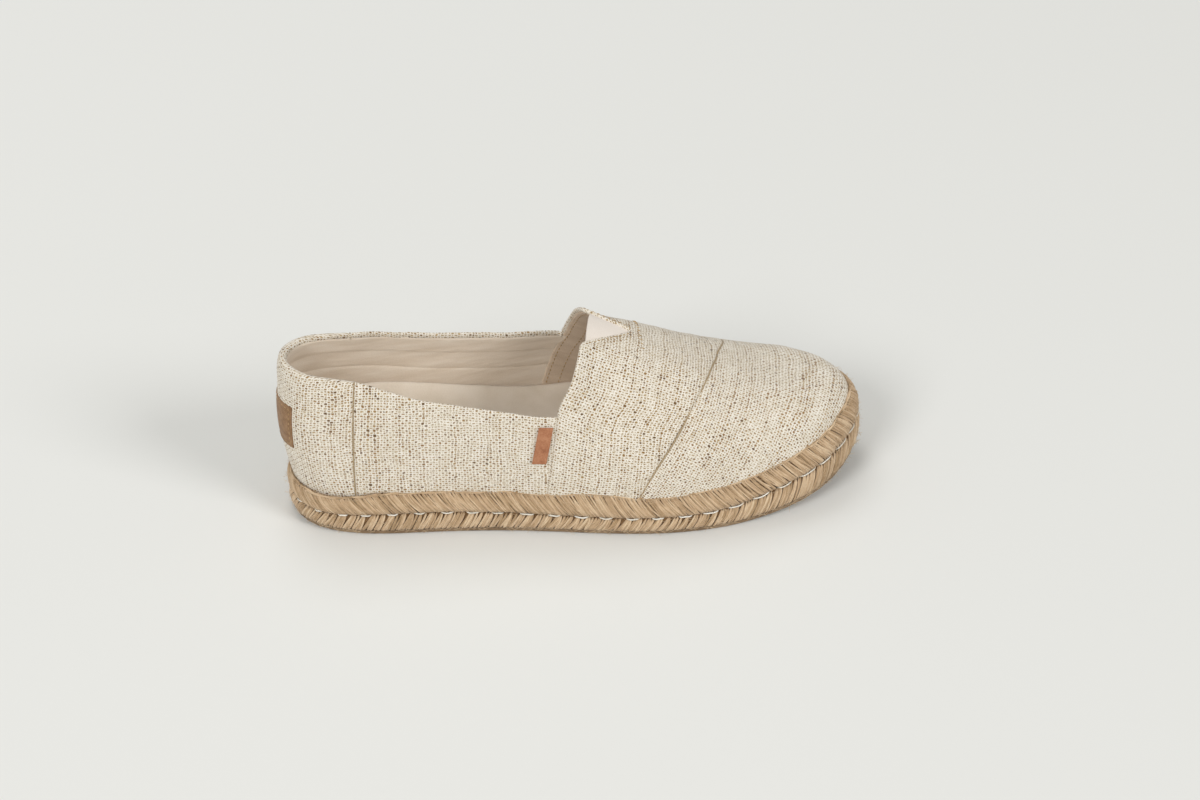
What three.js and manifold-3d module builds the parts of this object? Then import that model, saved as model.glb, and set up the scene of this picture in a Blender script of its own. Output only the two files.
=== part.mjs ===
// Rope-soled slip-on shoe for the right foot, standing empty on its sole.
// Millimetres, +X heel to toe, +Y the medial (big toe) side, +Z up.
import * as THREE from 'three';
import Module from 'manifold-3d';

const wasm = await Module();
wasm.setup();

// ---- named sizes ---------------------------------------------------------
const GAP = 0.3;              // play between pieces that meet
const WELT = 5.0;             // rope edge to the foot of the upper's wall
const WALL = 1.8;             // canvas, stiffener and lining together
const RUBBER = 2.4;           // outsole sheet
const PLATFORM = 18.0;        // top of the rope bed under the insole
const PLATFORM_INSET = 9.4;   // rope edge to the bed's own edge
const HEEL_FOCUS = { x: 44, y: 0 };     // heel sections fan about this point
const TOE_FOCUS = { x: 210, y: 3.5 };   // toe sections fan about this point

// Rope outline seen from above, heel to toe, one row per station.
const HEEL_TIP = { x: 0, y: 0 };
const TOE_TIP = { x: 270.8, y: 4 };
const LATERAL = [
  { x: 7, y: -18.4 },
  { x: 22, y: -28 },
  { x: 60, y: -34 },
  { x: 100, y: -38.3 },
  { x: 135, y: -45 },
  { x: 175, y: -50.3 },
  { x: 214, y: -45.8 },
  { x: 246, y: -33.5 },
  { x: 263.5, y: -15 },
];
const MEDIAL = [
  { x: 7, y: 18.4 },
  { x: 22, y: 28 },
  { x: 60, y: 34 },
  { x: 100, y: 36.5 },
  { x: 135, y: 41 },
  { x: 175, y: 46.5 },
  { x: 205, y: 49.5 },
  { x: 235, y: 46.3 },
  { x: 259.5, y: 32 },
  { x: 268.6, y: 18.5 },
];

// The last, row per section: crown height over the ground plane, two powers
// that round the section across and up, and how far the wall swells out.
const LAST = [
  { x: 0, crown: 122, across: 0.3, up: 1.0, swell: 15.5 },
  { x: 25, crown: 118, across: 1.1, up: 1.0, swell: 2.5 },
  { x: 60, crown: 115, across: 0.62, up: 1.0, swell: 1.5 },
  { x: 100, crown: 110, across: 0.45, up: 1.0, swell: 2.5 },
  { x: 121, crown: 103, across: 0.5, up: 1.0, swell: 3 },
  { x: 140.5, crown: 89, across: 0.85, up: 1.0, swell: 3 },
  { x: 165, crown: 77.5, across: 0.85, up: 0.92, swell: 3 },
  { x: 183, crown: 69.8, across: 0.85, up: 0.9, swell: 3 },
  { x: 206, crown: 60.3, across: 0.8, up: 0.86, swell: 2 },
  { x: 225, crown: 53.2, across: 0.7, up: 0.8, swell: 1 },
  { x: 248, crown: 50.4, across: 0.52, up: 0.72, swell: 0.5 },
  { x: 267, crown: 50.2, across: 0.44, up: 0.68, swell: 0.5 },
];

// Topline and front of the throat seen from the side, on the middle plane.
const TOPLINE = [
  { x: -12, z: 82.8 },
  { x: 0, z: 82.8 },
  { x: 12, z: 81.2 },
  { x: 31, z: 77 },
  { x: 62, z: 69 },
  { x: 92, z: 63.8 },
  { x: 112, z: 61.2 },
  { x: 123.5, z: 60.4 },
  { x: 126.5, z: 61.2 },
  { x: 128.2, z: 63.6 },
  { x: 130.4, z: 67 },
  { x: 134.4, z: 73.5 },
  { x: 136.9, z: 80 },
  { x: 138.7, z: 86 },
  { x: 140, z: 93 },
];
// The medial side of the topline stands higher, and the throat is cut oblique.
const MEDIAL_LIFT = [
  { x: 6, z: 0.3 },
  { x: 20, z: 2 },
  { x: 31, z: 3 },
  { x: 62, z: 3.4 },
  { x: 92, z: 3.6 },
  { x: 126, z: 2.6 },
];
const OBLIQUE = 0.16;         // mm forward for each mm towards the medial side
const GORE = { apex: 161.5, rear: 130, lateral: 24.2, medial: 13.2 };   // elastic V from above
const GROOVE = [              // top of the lower rope row, over the ground plane
  { x: 0, top: 9.2 },
  { x: 20, top: 9.9 },
  { x: 38, top: 10.9 },
  { x: 58, top: 11.4 },
  { x: 80, top: 11.0 },
  { x: 96, top: 10.5 },
  { x: 113, top: 9.9 },
  { x: 133, top: 9.3 },
  { x: 154, top: 8.9 },
  { x: 170, top: 9.2 },
  { x: 188, top: 9.7 },
  { x: 204, top: 11.2 },
  { x: 219, top: 13.3 },
  { x: 240, top: 14.9 },
  { x: 254, top: 15.2 },
  { x: 272, top: 15.6 },
];
const TOP_ROPE = [
  { x: 0, top: 20.2, lean: -0.2 },
  { x: 18, top: 18.7, lean: 1.2 },
  { x: 29, top: 19.3, lean: 2.1 },
  { x: 40, top: 21.0, lean: 2.8 },
  { x: 58, top: 21.1, lean: 3.3 },
  { x: 83, top: 20.7, lean: 3.5 },
  { x: 97, top: 20.7, lean: 3.6 },
  { x: 114, top: 19.5, lean: 3.7 },
  { x: 132, top: 20.6, lean: 3.7 },
  { x: 146, top: 20.1, lean: 3.8 },
  { x: 162, top: 18.5, lean: 3.8 },
  { x: 185, top: 20.3, lean: 3.8 },
  { x: 200, top: 22, lean: 3.8 },
  { x: 215, top: 23.6, lean: 4 },
  { x: 236, top: 26, lean: 4.3 },
  { x: 250, top: 27.3, lean: 4.4 },
  { x: 262, top: 28.5, lean: 4.6 },
];
const INSOLE = [
  { x: 0, edge: 46, centre: 33 },
  { x: 36, edge: 47.2, centre: 31 },
  { x: 64, edge: 43, centre: 30 },
  { x: 93, edge: 37.3, centre: 28.5 },
  { x: 117, edge: 32.8, centre: 26.5 },
  { x: 140, edge: 31.2, centre: 25.3 },
  { x: 190, edge: 26.8, centre: 24.2 },
  { x: 272, edge: 25, centre: 24 },
];
const TAG = { x: 110, width: 6.4, slant: 3.4, low: 37.3, high: 56.2 };
const PATCH = { reach: 0.052, low: 40.5, high: 62.5 };

// ---- small maths ---------------------------------------------------------
// Smooth value of one column of a table at x.
function column(rows, name, x) {
  const n = rows.length;
  const at = Math.min(Math.max(x, rows[0].x), rows[n - 1].x);
  let i = 0;
  while (i < n - 2 && at > rows[i + 1].x) i += 1;
  const slope = (k) => (rows[k + 1][name] - rows[k][name]) / (rows[k + 1].x - rows[k].x);
  const tangent = (k) => {
    if (k === 0) return slope(0);
    if (k === n - 1) return slope(n - 2);
    const before = rows[k].x - rows[k - 1].x;
    const after = rows[k + 1].x - rows[k].x;
    return (slope(k - 1) * after + slope(k) * before) / (before + after);
  };
  const h = rows[i + 1].x - rows[i].x;
  const s = (at - rows[i].x) / h;
  const s2 = s * s;
  const s3 = s2 * s;
  return (2 * s3 - 3 * s2 + 1) * rows[i][name] + (s3 - 2 * s2 + s) * h * tangent(i)
    + (3 * s2 - 2 * s3) * rows[i + 1][name] + (s3 - s2) * h * tangent(i + 1);
}

// Closed natural curve through the outline rows: second derivatives by relaxation.
function closedCurve(knots, perSpan) {
  const n = knots.length;
  const span = knots.map((k, i) => {
    const next = knots[(i + 1) % n];
    return Math.hypot(next.x - k.x, next.y - k.y);
  });
  const bend = knots.map(() => ({ x: 0, y: 0 }));
  for (let pass = 0; pass < 200; pass += 1) {
    for (let i = 0; i < n; i += 1) {
      const a = (i + n - 1) % n;
      const b = (i + 1) % n;
      for (const axis of ['x', 'y']) {
        const turn = (knots[b][axis] - knots[i][axis]) / span[i]
          - (knots[i][axis] - knots[a][axis]) / span[a];
        bend[i][axis] = (6 * turn - span[a] * bend[a][axis] - span[i] * bend[b][axis])
          / (2 * (span[a] + span[i]));
      }
    }
  }
  const points = [];
  for (let i = 0; i < n; i += 1) {
    const j = (i + 1) % n;
    for (let k = 0; k < perSpan; k += 1) {
      const b = k / perSpan;
      const a = 1 - b;
      const at = (axis) => a * knots[i][axis] + b * knots[j][axis]
        + ((a ** 3 - a) * bend[i][axis] + (b ** 3 - b) * bend[j][axis]) * span[i] ** 2 / 6;
      points.push({ x: at('x'), y: at('y') });
    }
  }
  return points;
}

// ---- outline -------------------------------------------------------------
const PER_SPAN = 40;
const ring = closedCurve([HEEL_TIP, ...MEDIAL, TOE_TIP, ...[...LATERAL].reverse()], PER_SPAN);
const toeIndex = (MEDIAL.length + 1) * PER_SPAN;

// One half of the outline with its inward normals and share of its length.
function outlineHalf(side) {
  const n = ring.length;
  const count = side > 0 ? toeIndex : n - toeIndex;
  const points = [];
  let run = 0;
  for (let k = 0; k <= count; k += 1) {
    const i = side > 0 ? k % n : (n - k) % n;
    const p = ring[i];
    const a = ring[(i + n - 1) % n];
    const b = ring[(i + 1) % n];
    const size = Math.hypot(b.x - a.x, b.y - a.y);
    if (k > 0) {
      const last = points[k - 1];
      run += Math.hypot(p.x - last.x, p.y - last.y);
    }
    points.push({ x: p.x, y: p.y, nx: (b.y - a.y) / size, ny: -(b.x - a.x) / size, run });
  }
  return points.map((p) => ({ ...p, run: p.run / run }));
}
const half = { 1: outlineHalf(1), '-1': outlineHalf(-1) };

// Point of the outline at share c of one half, moved inwards.
// Below 0 and above 1 it goes on round the tip to the other half.
function edge(side, c, inset) {
  if (c < 0) return edge(-side, -c, inset);
  if (c > 1) return edge(-side, 2 - c, inset);
  const rows = half[side];
  let low = 0;
  let high = rows.length - 1;
  while (high - low > 1) {
    const mid = (low + high) >> 1;
    if (rows[mid].run > c) high = mid;
    else low = mid;
  }
  const s = (c - rows[low].run) / (rows[high].run - rows[low].run);
  const mix = (name) => rows[low][name] * (1 - s) + rows[high][name] * s;
  return { x: mix('x') + mix('nx') * inset, y: mix('y') + mix('ny') * inset };
}

// Share of the half at which the foot of the wall has this x.
function shareAt(side, x) {
  let low = 0.02;
  let high = 0.97;
  for (let k = 0; k < 50; k += 1) {
    const mid = (low + high) / 2;
    if (edge(side, mid, WELT).x > x) high = mid;
    else low = mid;
  }
  return (low + high) / 2;
}

// Height of the sole's underside: flat, with a slight heel lift and toe spring.
function ground(x) {
  const toe = 12 * Math.max(0, (x - 198) / 74) ** 1.6;
  const heel = 1.2 * Math.max(0, (18 - x) / 18) ** 2;
  return toe + heel;
}

// Where the upper's wall stands, over the ground plane.
function feather(x) {
  return column(GROOVE, 'top', x) + GAP;
}

// ---- the last's surface ----------------------------------------------------
function spineY(x) {
  const s = (x - HEEL_FOCUS.x) / (TOE_FOCUS.x - HEEL_FOCUS.x);
  return HEEL_FOCUS.y + (TOE_FOCUS.y - HEEL_FOCUS.y) * Math.min(Math.max(s, 0), 1);
}

// t runs from 0 at the foot of the wall to 1 on the spine.
function skin(side, c, t) {
  const p = edge(side, c, WELT);
  const sx = Math.min(Math.max(p.x, HEEL_FOCUS.x), TOE_FOCUS.x);
  const sy = spineY(sx);
  const reach = Math.hypot(sx - p.x, sy - p.y);
  const angle = t * Math.PI / 2;
  const round = 1 - Math.max(Math.cos(angle), 0) ** column(LAST, 'across', p.x);
  const swell = column(LAST, 'swell', p.x) * Math.sin(Math.PI * Math.min(t * 1.3, 1)) * (1 - t);
  const inward = reach * round - swell;
  const x = p.x + (sx - p.x) / reach * inward;
  const y = p.y + (sy - p.y) / reach * inward;
  const foot = ground(p.x) + feather(p.x);
  const z = foot + (column(LAST, 'crown', x) - foot) * Math.sin(angle) ** column(LAST, 'up', p.x);
  return new THREE.Vector3(x, y, z);
}

// The surface's outward normal.
function facing(side, c, t) {
  if (t > 0.999) {
    const x = skin(side, c, t).x;
    const rise = (column(LAST, 'crown', x + 1) - column(LAST, 'crown', x - 1)) / 2;
    return new THREE.Vector3(-rise, 0, 1).normalize();
  }
  const along = skin(side, c + 0.004, t).sub(skin(side, c - 0.004, t));
  const up = skin(side, c, Math.min(t + 0.01, 0.995)).sub(skin(side, c, Math.max(t - 0.01, 0)));
  return along.cross(up).multiplyScalar(-side).normalize();
}

// The same point pushed out along the normal.
function shell(side, c, t, out) {
  const p = skin(side, c, t);
  if (out === 0) return p;
  return p.addScaledVector(facing(side, c, t), out);
}

// t at which the wall reaches a height.
function climb(side, c, z) {
  let low = 0;
  let high = 1;
  for (let k = 0; k < 40; k += 1) {
    const mid = (low + high) / 2;
    if (skin(side, c, mid).z > z) high = mid;
    else low = mid;
  }
  return (low + high) / 2;
}

// Wall point at a height above the ground line, set off level from the wall.
function wallAt(side, c, height, out) {
  const t = climb(side, c, height + ground(edge(side, c, WELT).x));
  const n = facing(side, c, t);
  const level = n.x * n.x + n.y * n.y;
  return skin(side, c, t).add(new THREE.Vector3(n.x * out / level, n.y * out / level, 0));
}

// ---- stations shared by every piece -----------------------------------------
const FAN = 9;
const MIDDLE = 26;
const stations = [];
for (let k = 0; k < FAN; k += 1) {
  const share = (side) => shareAt(side, HEEL_FOCUS.x) * k / FAN;
  stations.push({ 1: share(1), '-1': share(-1) });
}
for (let k = 0; k <= MIDDLE; k += 1) {
  const x = HEEL_FOCUS.x + (TOE_FOCUS.x - HEEL_FOCUS.x) * k / MIDDLE;
  stations.push({ 1: shareAt(1, x), '-1': shareAt(-1, x) });
}
for (let k = 1; k <= FAN; k += 1) {
  const share = (side) => {
    const start = shareAt(side, TOE_FOCUS.x);
    return start + (1 - start) * k / FAN;
  };
  stations.push({ 1: share(1), '-1': share(-1) });
}

// ---- turning rows of points into closed solids -------------------------------
function quad(list, a, b, c, d) {
  list.push([a, b, c], [a, c, d]);
}

function sideFaces(list, low, high) {
  for (let i = 0; i + 1 < stations.length; i += 1) {
    for (const side of [-1, 1]) {
      const a = low(side, stations[i][side]);
      const b = low(side, stations[i + 1][side]);
      const c = high(side, stations[i + 1][side]);
      const d = high(side, stations[i][side]);
      if (side < 0) quad(list, a, b, c, d);
      else quad(list, a, d, c, b);
    }
  }
}

function lid(list, row, up) {
  for (let i = 0; i + 1 < stations.length; i += 1) {
    const a = row(-1, stations[i][-1]);
    const b = row(-1, stations[i + 1][-1]);
    const c = row(1, stations[i + 1][1]);
    const d = row(1, stations[i][1]);
    if (up) quad(list, a, b, c, d);
    else quad(list, a, d, c, b);
  }
}

// Rows stacked bottom to top; the last one closes on the spine or by a lid.
function stack(rows, closesOnSpine) {
  const list = [];
  for (let j = 0; j + 1 < rows.length; j += 1) sideFaces(list, rows[j], rows[j + 1]);
  lid(list, rows[0], false);
  if (!closesOnSpine) lid(list, rows[rows.length - 1], true);
  return list;
}

// Rows up the outside and down the inside, closed on themselves.
function band(rows) {
  const list = [];
  rows.forEach((row, j) => sideFaces(list, row, rows[(j + 1) % rows.length]));
  return list;
}

function solid(triangles) {
  const index = new Map();
  const vertices = [];
  const faces = [];
  const find = (p) => {
    const key = [p.x, p.y, p.z].map((v) => Math.round(v * 500)).join();
    if (!index.has(key)) {
      index.set(key, vertices.length / 3);
      vertices.push(p.x, p.y, p.z);
    }
    return index.get(key);
  };
  for (const triangle of triangles) {
    const [a, b, c] = triangle.map(find);
    if (a !== b && b !== c && c !== a) faces.push(a, b, c);
  }
  return new wasm.Manifold(new wasm.Mesh({
    numProp: 3,
    vertProperties: new Float32Array(vertices),
    triVerts: new Uint32Array(faces),
  }));
}

// Prism from a flat outline; place turns (u, v, depth) into a point.
function prism(outline, depth, place) {
  const flat = outline.map((p) => new THREE.Vector2(p[0], p[1]));
  if (THREE.ShapeUtils.isClockWise(flat)) flat.reverse();
  const list = [];
  const near = flat.map((p) => place(p.x, p.y, depth[0]));
  const far = flat.map((p) => place(p.x, p.y, depth[1]));
  for (const [a, b, c] of THREE.ShapeUtils.triangulateShape(flat, [])) {
    list.push([near[a], near[c], near[b]], [far[a], far[b], far[c]]);
  }
  near.forEach((p, i) => {
    const j = (i + 1) % near.length;
    quad(list, p, near[j], far[j], far[i]);
  });
  return solid(list);
}

// Small plate lying on the wall, from a grid of wall points.
function plate(across, up, point) {
  const list = [];
  const at = (i, j, out) => point(i / across, j / up, out);
  const low = GAP;
  const high = GAP + 1.0;
  for (let i = 0; i < across; i += 1) {
    for (let j = 0; j < up; j += 1) {
      quad(list, at(i, j, high), at(i + 1, j, high), at(i + 1, j + 1, high), at(i, j + 1, high));
      quad(list, at(i, j, low), at(i, j + 1, low), at(i + 1, j + 1, low), at(i + 1, j, low));
    }
    quad(list, at(i, 0, low), at(i + 1, 0, low), at(i + 1, 0, high), at(i, 0, high));
    quad(list, at(i, up, low), at(i, up, high), at(i + 1, up, high), at(i + 1, up, low));
  }
  for (let j = 0; j < up; j += 1) {
    quad(list, at(0, j, low), at(0, j, high), at(0, j + 1, high), at(0, j + 1, low));
    quad(list, at(across, j, low), at(across, j + 1, low), at(across, j + 1, high),
      at(across, j, high));
  }
  return solid(list);
}

// ---- sole --------------------------------------------------------------------
const level = (inset, height) => (side, c) => {
  const p = edge(side, c, inset);
  return new THREE.Vector3(p.x, p.y, ground(p.x) + height);
};
const outsole = solid(stack([level(2.2, 0), level(1.2, 0.7), level(1.2, RUBBER)], false));

// Lower rope row: share is 0 on the rubber and 1 in the groove.
const rope = (inset, share) => (side, c) => {
  const p = edge(side, c, inset);
  const low = RUBBER + GAP;
  const height = low + (column(GROOVE, 'top', p.x) - low) * share;
  return new THREE.Vector3(p.x, p.y, ground(p.x) + height);
};
const juteSole = solid(stack([
  rope(1.4, 0),
  rope(0.3, 0.2),
  rope(0, 0.5),
  rope(0.5, 0.85),
  rope(1.6, 1),
  rope(PLATFORM_INSET, 1),
  level(PLATFORM_INSET, PLATFORM),
], false));

// Upper rope row: rounded outside, its inside following the upper's wall.
const ropeOut = (share, extra) => (side, c) => {
  const foot = edge(side, c, WELT).x;
  const top = column(TOP_ROPE, 'top', foot);
  const p = edge(side, c, 0.9 + column(TOP_ROPE, 'lean', foot) * share ** 1.6 - extra);
  const low = feather(p.x);
  return new THREE.Vector3(p.x, p.y, ground(p.x) + low + (top - low) * share);
};
const ropeIn = (share) => (side, c) => {
  const foot = edge(side, c, WELT).x;
  const low = feather(foot);
  return wallAt(side, c, low + (column(TOP_ROPE, 'top', foot) - low) * share, GAP);
};
const juteFoxing = solid(band([
  ropeOut(0, -0.4),
  ropeOut(0.12, 0.5),
  ropeOut(0.4, 0.9),
  ropeOut(0.7, 0.8),
  ropeOut(0.92, 0.4),
  ropeIn(1),
  ropeIn(0.5),
  ropeIn(0),
]));

// ---- upper ---------------------------------------------------------------------
const STEPS = [0, 0.1, 0.2, 0.3, 0.4, 0.5, 0.6, 0.7, 0.8, 0.88, 0.95, 1];
const dome = (out, foot) => {
  const rows = STEPS.map((t) => (side, c) => shell(side, c, t, out));
  if (foot > 0) {
    rows.unshift((side, c) => rows[1](side, c).add(new THREE.Vector3(0, 0, -foot)));
  }
  return solid(stack(rows, true));
};

const smoothStep = (low, high, value) => {
  const s = Math.min(Math.max((value - low) / (high - low), 0), 1);
  return s * s * (3 - 2 * s);
};
const topline = [];
for (let x = TOPLINE[0].x; x < 121; x += 3) topline.push([x, column(TOPLINE, 'z', x)]);
for (let x = 121; x < 140; x += 1.5) topline.push([x, column(TOPLINE, 'z', x)]);
const mouth = prism(
  [...topline, [140, 93], [140, 140], [-12, 140]],
  [-90, 90],
  (u, v, depth) => {
    const y = -depth;
    const forward = OBLIQUE * y * smoothStep(96, 126, u);
    const lift = column(MEDIAL_LIFT, 'z', u) * (1 - smoothStep(58, 66, u > 115 ? v : 58));
    return new THREE.Vector3(u + forward, y, v + lift * (0.5 + y / 70));
  },
);
const notch = (grow) => prism(
  [
    [GORE.apex + grow * 2, 0.5],
    [GORE.rear, GORE.medial + grow],
    [GORE.rear, -GORE.lateral - grow],
    [GORE.apex + grow * 2, -0.5],
  ],
  [55, 130],
  (u, v, depth) => new THREE.Vector3(u, spineY(u) + v, depth),
);
const upper = dome(0, 0).subtract(dome(-WALL, 3)).subtract(mouth).subtract(notch(0));
const gore = dome(-0.5, 0).subtract(dome(-WALL + 0.3, 3)).subtract(mouth)
  .intersect(notch(-GAP * 1.6));

// ---- insole -------------------------------------------------------------------
const INSET = -WALL - 0.5;
const footbed = (share, drop) => (side, c) => {
  const x = edge(side, c, WELT).x;
  return wallAt(side, c, column(INSOLE, 'edge', x) * (1 - drop) + (PLATFORM + GAP) * drop, INSET
    - share);
};
const bed = (s) => (side, c) => {
  const rim = footbed(0.6, 0)(side, c);
  const sx = Math.min(Math.max(edge(side, c, WELT).x, HEEL_FOCUS.x), TOE_FOCUS.x);
  const x = rim.x + (sx - rim.x) * s;
  const y = rim.y + (spineY(sx) - rim.y) * s;
  const foot = edge(side, c, WELT).x;
  const high = ground(foot) + column(INSOLE, 'edge', foot);
  const low = ground(x) + column(INSOLE, 'centre', x);
  return new THREE.Vector3(x, y, low + (high - low) * (1 - s) ** 2.4);
};
const insole = solid(stack([
  footbed(0, 1),
  footbed(0, 0.5),
  footbed(0, 0.06),
  bed(0),
  bed(0.15),
  bed(0.35),
  bed(0.6),
  bed(0.8),
  bed(1),
], true));

// ---- small pieces on the wall --------------------------------------------------
const sideTag = plate(3, 5, (u, v, out) => {
  const z = TAG.low + (TAG.high - TAG.low) * v;
  const c = shareAt(-1, TAG.x + TAG.slant * v + TAG.width * u);
  return shell(-1, c, climb(-1, c, z), out);
});
const heelPatch = plate(8, 5, (u, v, out) => {
  const z = PATCH.low + (PATCH.high - PATCH.low) * v;
  const c = PATCH.reach * (1 - 2 * u);
  const side = c < 0 ? -1 : 1;
  return shell(side, Math.abs(c), climb(side, Math.abs(c), z), out);
});

// ---- nodes ---------------------------------------------------------------------
const pieces = [
  { name: 'outsole', body: outsole, color: 0x8a6a4c, roughness: 0.8 },
  { name: 'jute_sole', body: juteSole, color: 0xb8966f, roughness: 0.95 },
  { name: 'jute_foxing', body: juteFoxing, color: 0xc2a178, roughness: 0.95 },
  { name: 'upper', body: upper, color: 0xe2dacb, roughness: 0.95 },
  { name: 'gore', body: gore, color: 0xe4d8cc, roughness: 0.9 },
  { name: 'insole', body: insole, color: 0xcbbcab, roughness: 0.9 },
  { name: 'side_tag', body: sideTag, color: 0xb9744c, roughness: 0.6 },
  { name: 'heel_patch', body: heelPatch, color: 0x8f6c48, roughness: 0.9 },
];

function geometryOf(body) {
  const mesh = body.getMesh();
  const geometry = new THREE.BufferGeometry();
  const stride = mesh.numProp;
  const count = mesh.vertProperties.length / stride;
  const points = new Float32Array(count * 3);
  for (let i = 0; i < count; i += 1) {
    for (let k = 0; k < 3; k += 1) points[i * 3 + k] = mesh.vertProperties[i * stride + k];
  }
  geometry.setAttribute('position', new THREE.BufferAttribute(points, 3));
  geometry.setIndex(new THREE.BufferAttribute(new Uint32Array(mesh.triVerts), 1));
  return geometry;
}

const group = new THREE.Group();
const box = new THREE.Box3();
for (const piece of pieces) {
  const material = new THREE.MeshStandardMaterial({
    color: piece.color,
    roughness: piece.roughness,
    metalness: 0,
  });
  const node = new THREE.Mesh(geometryOf(piece.body), material);
  node.name = piece.name;
  node.geometry.computeBoundingBox();
  box.union(node.geometry.boundingBox);
  group.add(node);
}
// The frame's origin is the middle of the box's underside.
for (const node of group.children) {
  node.geometry.translate(-(box.min.x + box.max.x) / 2, -(box.min.y + box.max.y) / 2, -box.min.z);
  node.geometry.computeVertexNormals();
}

export default group;
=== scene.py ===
# %% [markdown]
# # A rope-soled slip-on shoe, right foot
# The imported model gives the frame: the sole, the hollow upper, the insole and
# the small sewn pieces. The CAD solids are plain, so each one is replaced here
# by pieces made as the shoemaker makes them: woven panels, a lining, rope
# strands, stitches and tabs, all laid on the same last.

# %% Load the frame
import math

import bpy
import numpy as np
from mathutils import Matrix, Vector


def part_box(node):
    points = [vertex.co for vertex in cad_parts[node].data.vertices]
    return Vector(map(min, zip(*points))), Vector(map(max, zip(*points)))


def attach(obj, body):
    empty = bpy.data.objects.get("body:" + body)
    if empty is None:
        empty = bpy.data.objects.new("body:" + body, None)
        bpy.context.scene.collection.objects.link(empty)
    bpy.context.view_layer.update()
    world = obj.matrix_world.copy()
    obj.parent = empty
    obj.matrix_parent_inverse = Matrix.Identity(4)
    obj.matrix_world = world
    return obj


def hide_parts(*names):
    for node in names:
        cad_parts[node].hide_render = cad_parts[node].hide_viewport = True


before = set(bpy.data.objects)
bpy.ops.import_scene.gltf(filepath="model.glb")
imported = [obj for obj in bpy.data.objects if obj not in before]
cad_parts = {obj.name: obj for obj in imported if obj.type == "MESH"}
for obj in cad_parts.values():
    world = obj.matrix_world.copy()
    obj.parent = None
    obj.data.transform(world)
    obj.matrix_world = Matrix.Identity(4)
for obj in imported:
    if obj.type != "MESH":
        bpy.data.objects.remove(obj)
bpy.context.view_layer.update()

# %% [markdown]
# ## Where the last stands
# The last below is written in millimetres from the heel tip of the rope. The
# frame's origin is the middle of the box, so one shift turns the one into the
# other. The rope sole's own box gives it.

# %% The last's tables
HEEL_FOCUS = (44.0, 0.0)      # heel sections fan about this point
TOE_FOCUS = (210.0, 3.5)      # toe sections fan about this point
WELT = 5.0                    # rope edge to the foot of the wall
PLAY = 0.3                    # the wall's foot stands this far above the groove
HEEL_TIP = (0.0, 0.0)
TOE_TIP = (270.8, 4.0)
LATERAL = [(7, -18.4), (22, -28), (60, -34), (100, -38.3), (135, -45),
           (175, -50.3), (214, -45.8), (246, -33.5), (263.5, -15)]
MEDIAL = [(7, 18.4), (22, 28), (60, 34), (100, 36.5), (135, 41),
          (175, 46.5), (205, 49.5), (235, 46.3), (259.5, 32), (268.6, 18.5)]
LAST = {
    "x":      [0, 25, 60, 100, 121, 140.5, 165, 183, 206, 225, 248, 267],
    "crown":  [122, 118, 115, 110, 103, 89, 77.5, 69.8, 60.3, 53.2, 50.4, 50.2],
    "across": [0.3, 1.1, 0.62, 0.45, 0.5, 0.85, 0.85, 0.85, 0.8, 0.7, 0.52, 0.44],
    "up":     [1, 1, 1, 1, 1, 1, 0.92, 0.9, 0.86, 0.8, 0.72, 0.68],
    "swell":  [15.5, 2.5, 1.5, 2.5, 3, 3, 3, 3, 2, 1, 0.5, 0.5],
}
GROOVE = {                    # top of the lower rope row above the ground plane
    "x":   [0, 20, 38, 58, 80, 96, 113, 133, 154, 170, 188, 204, 219, 240, 254, 272],
    "top": [9.2, 9.9, 10.9, 11.4, 11.0, 10.5, 9.9, 9.3, 8.9, 9.2, 9.7, 11.2, 13.3, 14.9, 15.2, 15.6],
}
TOPLINE = {                   # seen from the side, on the middle plane
    "x": [-12, 0, 12, 31, 62, 92, 112, 126],
    "z": [82, 82, 80.4, 77, 69, 63.8, 61.2, 60.4],
}
MEDIAL_LIFT = {               # the medial topline stands higher
    "x": [6, 20, 31, 62, 92, 126],
    "z": [0, 1.6, 3, 3.4, 3.6, 2.6],
}
THROAT = {                    # the throat's rear edge, x by height
    "x": [58.2, 60, 63, 67, 73.5, 80, 86, 93],
    "at": [126.0, 126.6, 128.2, 130.4, 134.4, 136.9, 138.7, 140],
}
OBLIQUE = 0.16                # the throat runs forward towards the medial side
TOE_SPRING = {"start": 198, "length": 74, "rise": 12, "power": 1.6}
HEEL_LIFT = {"length": 18, "rise": 1.2}


def column(table, name, x):
    """Smooth value of one column of a table."""
    xs = np.array(table["x"], float)
    ys = np.array(table[name], float)
    x = np.clip(x, xs[0], xs[-1])
    gap = np.diff(xs)
    slope = np.diff(ys) / gap
    tangent = np.concatenate([
        slope[:1],
        (slope[:-1] * gap[1:] + slope[1:] * gap[:-1]) / (gap[1:] + gap[:-1]),
        slope[-1:],
    ])
    i = np.clip(np.searchsorted(xs, x, side="right") - 1, 0, len(xs) - 2)
    s = (x - xs[i]) / gap[i]
    return ((2 * s**3 - 3 * s**2 + 1) * ys[i] + (s**3 - 2 * s**2 + s) * gap[i] * tangent[i]
            + (3 * s**2 - 2 * s**3) * ys[i + 1] + (s**3 - s**2) * gap[i] * tangent[i + 1])


# %% [markdown]
# ## The outline seen from above
# A smooth closed curve through a few measured stations, as a pattern cutter
# would strike it with a flexible strip, then cut in two at heel and toe.

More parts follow.
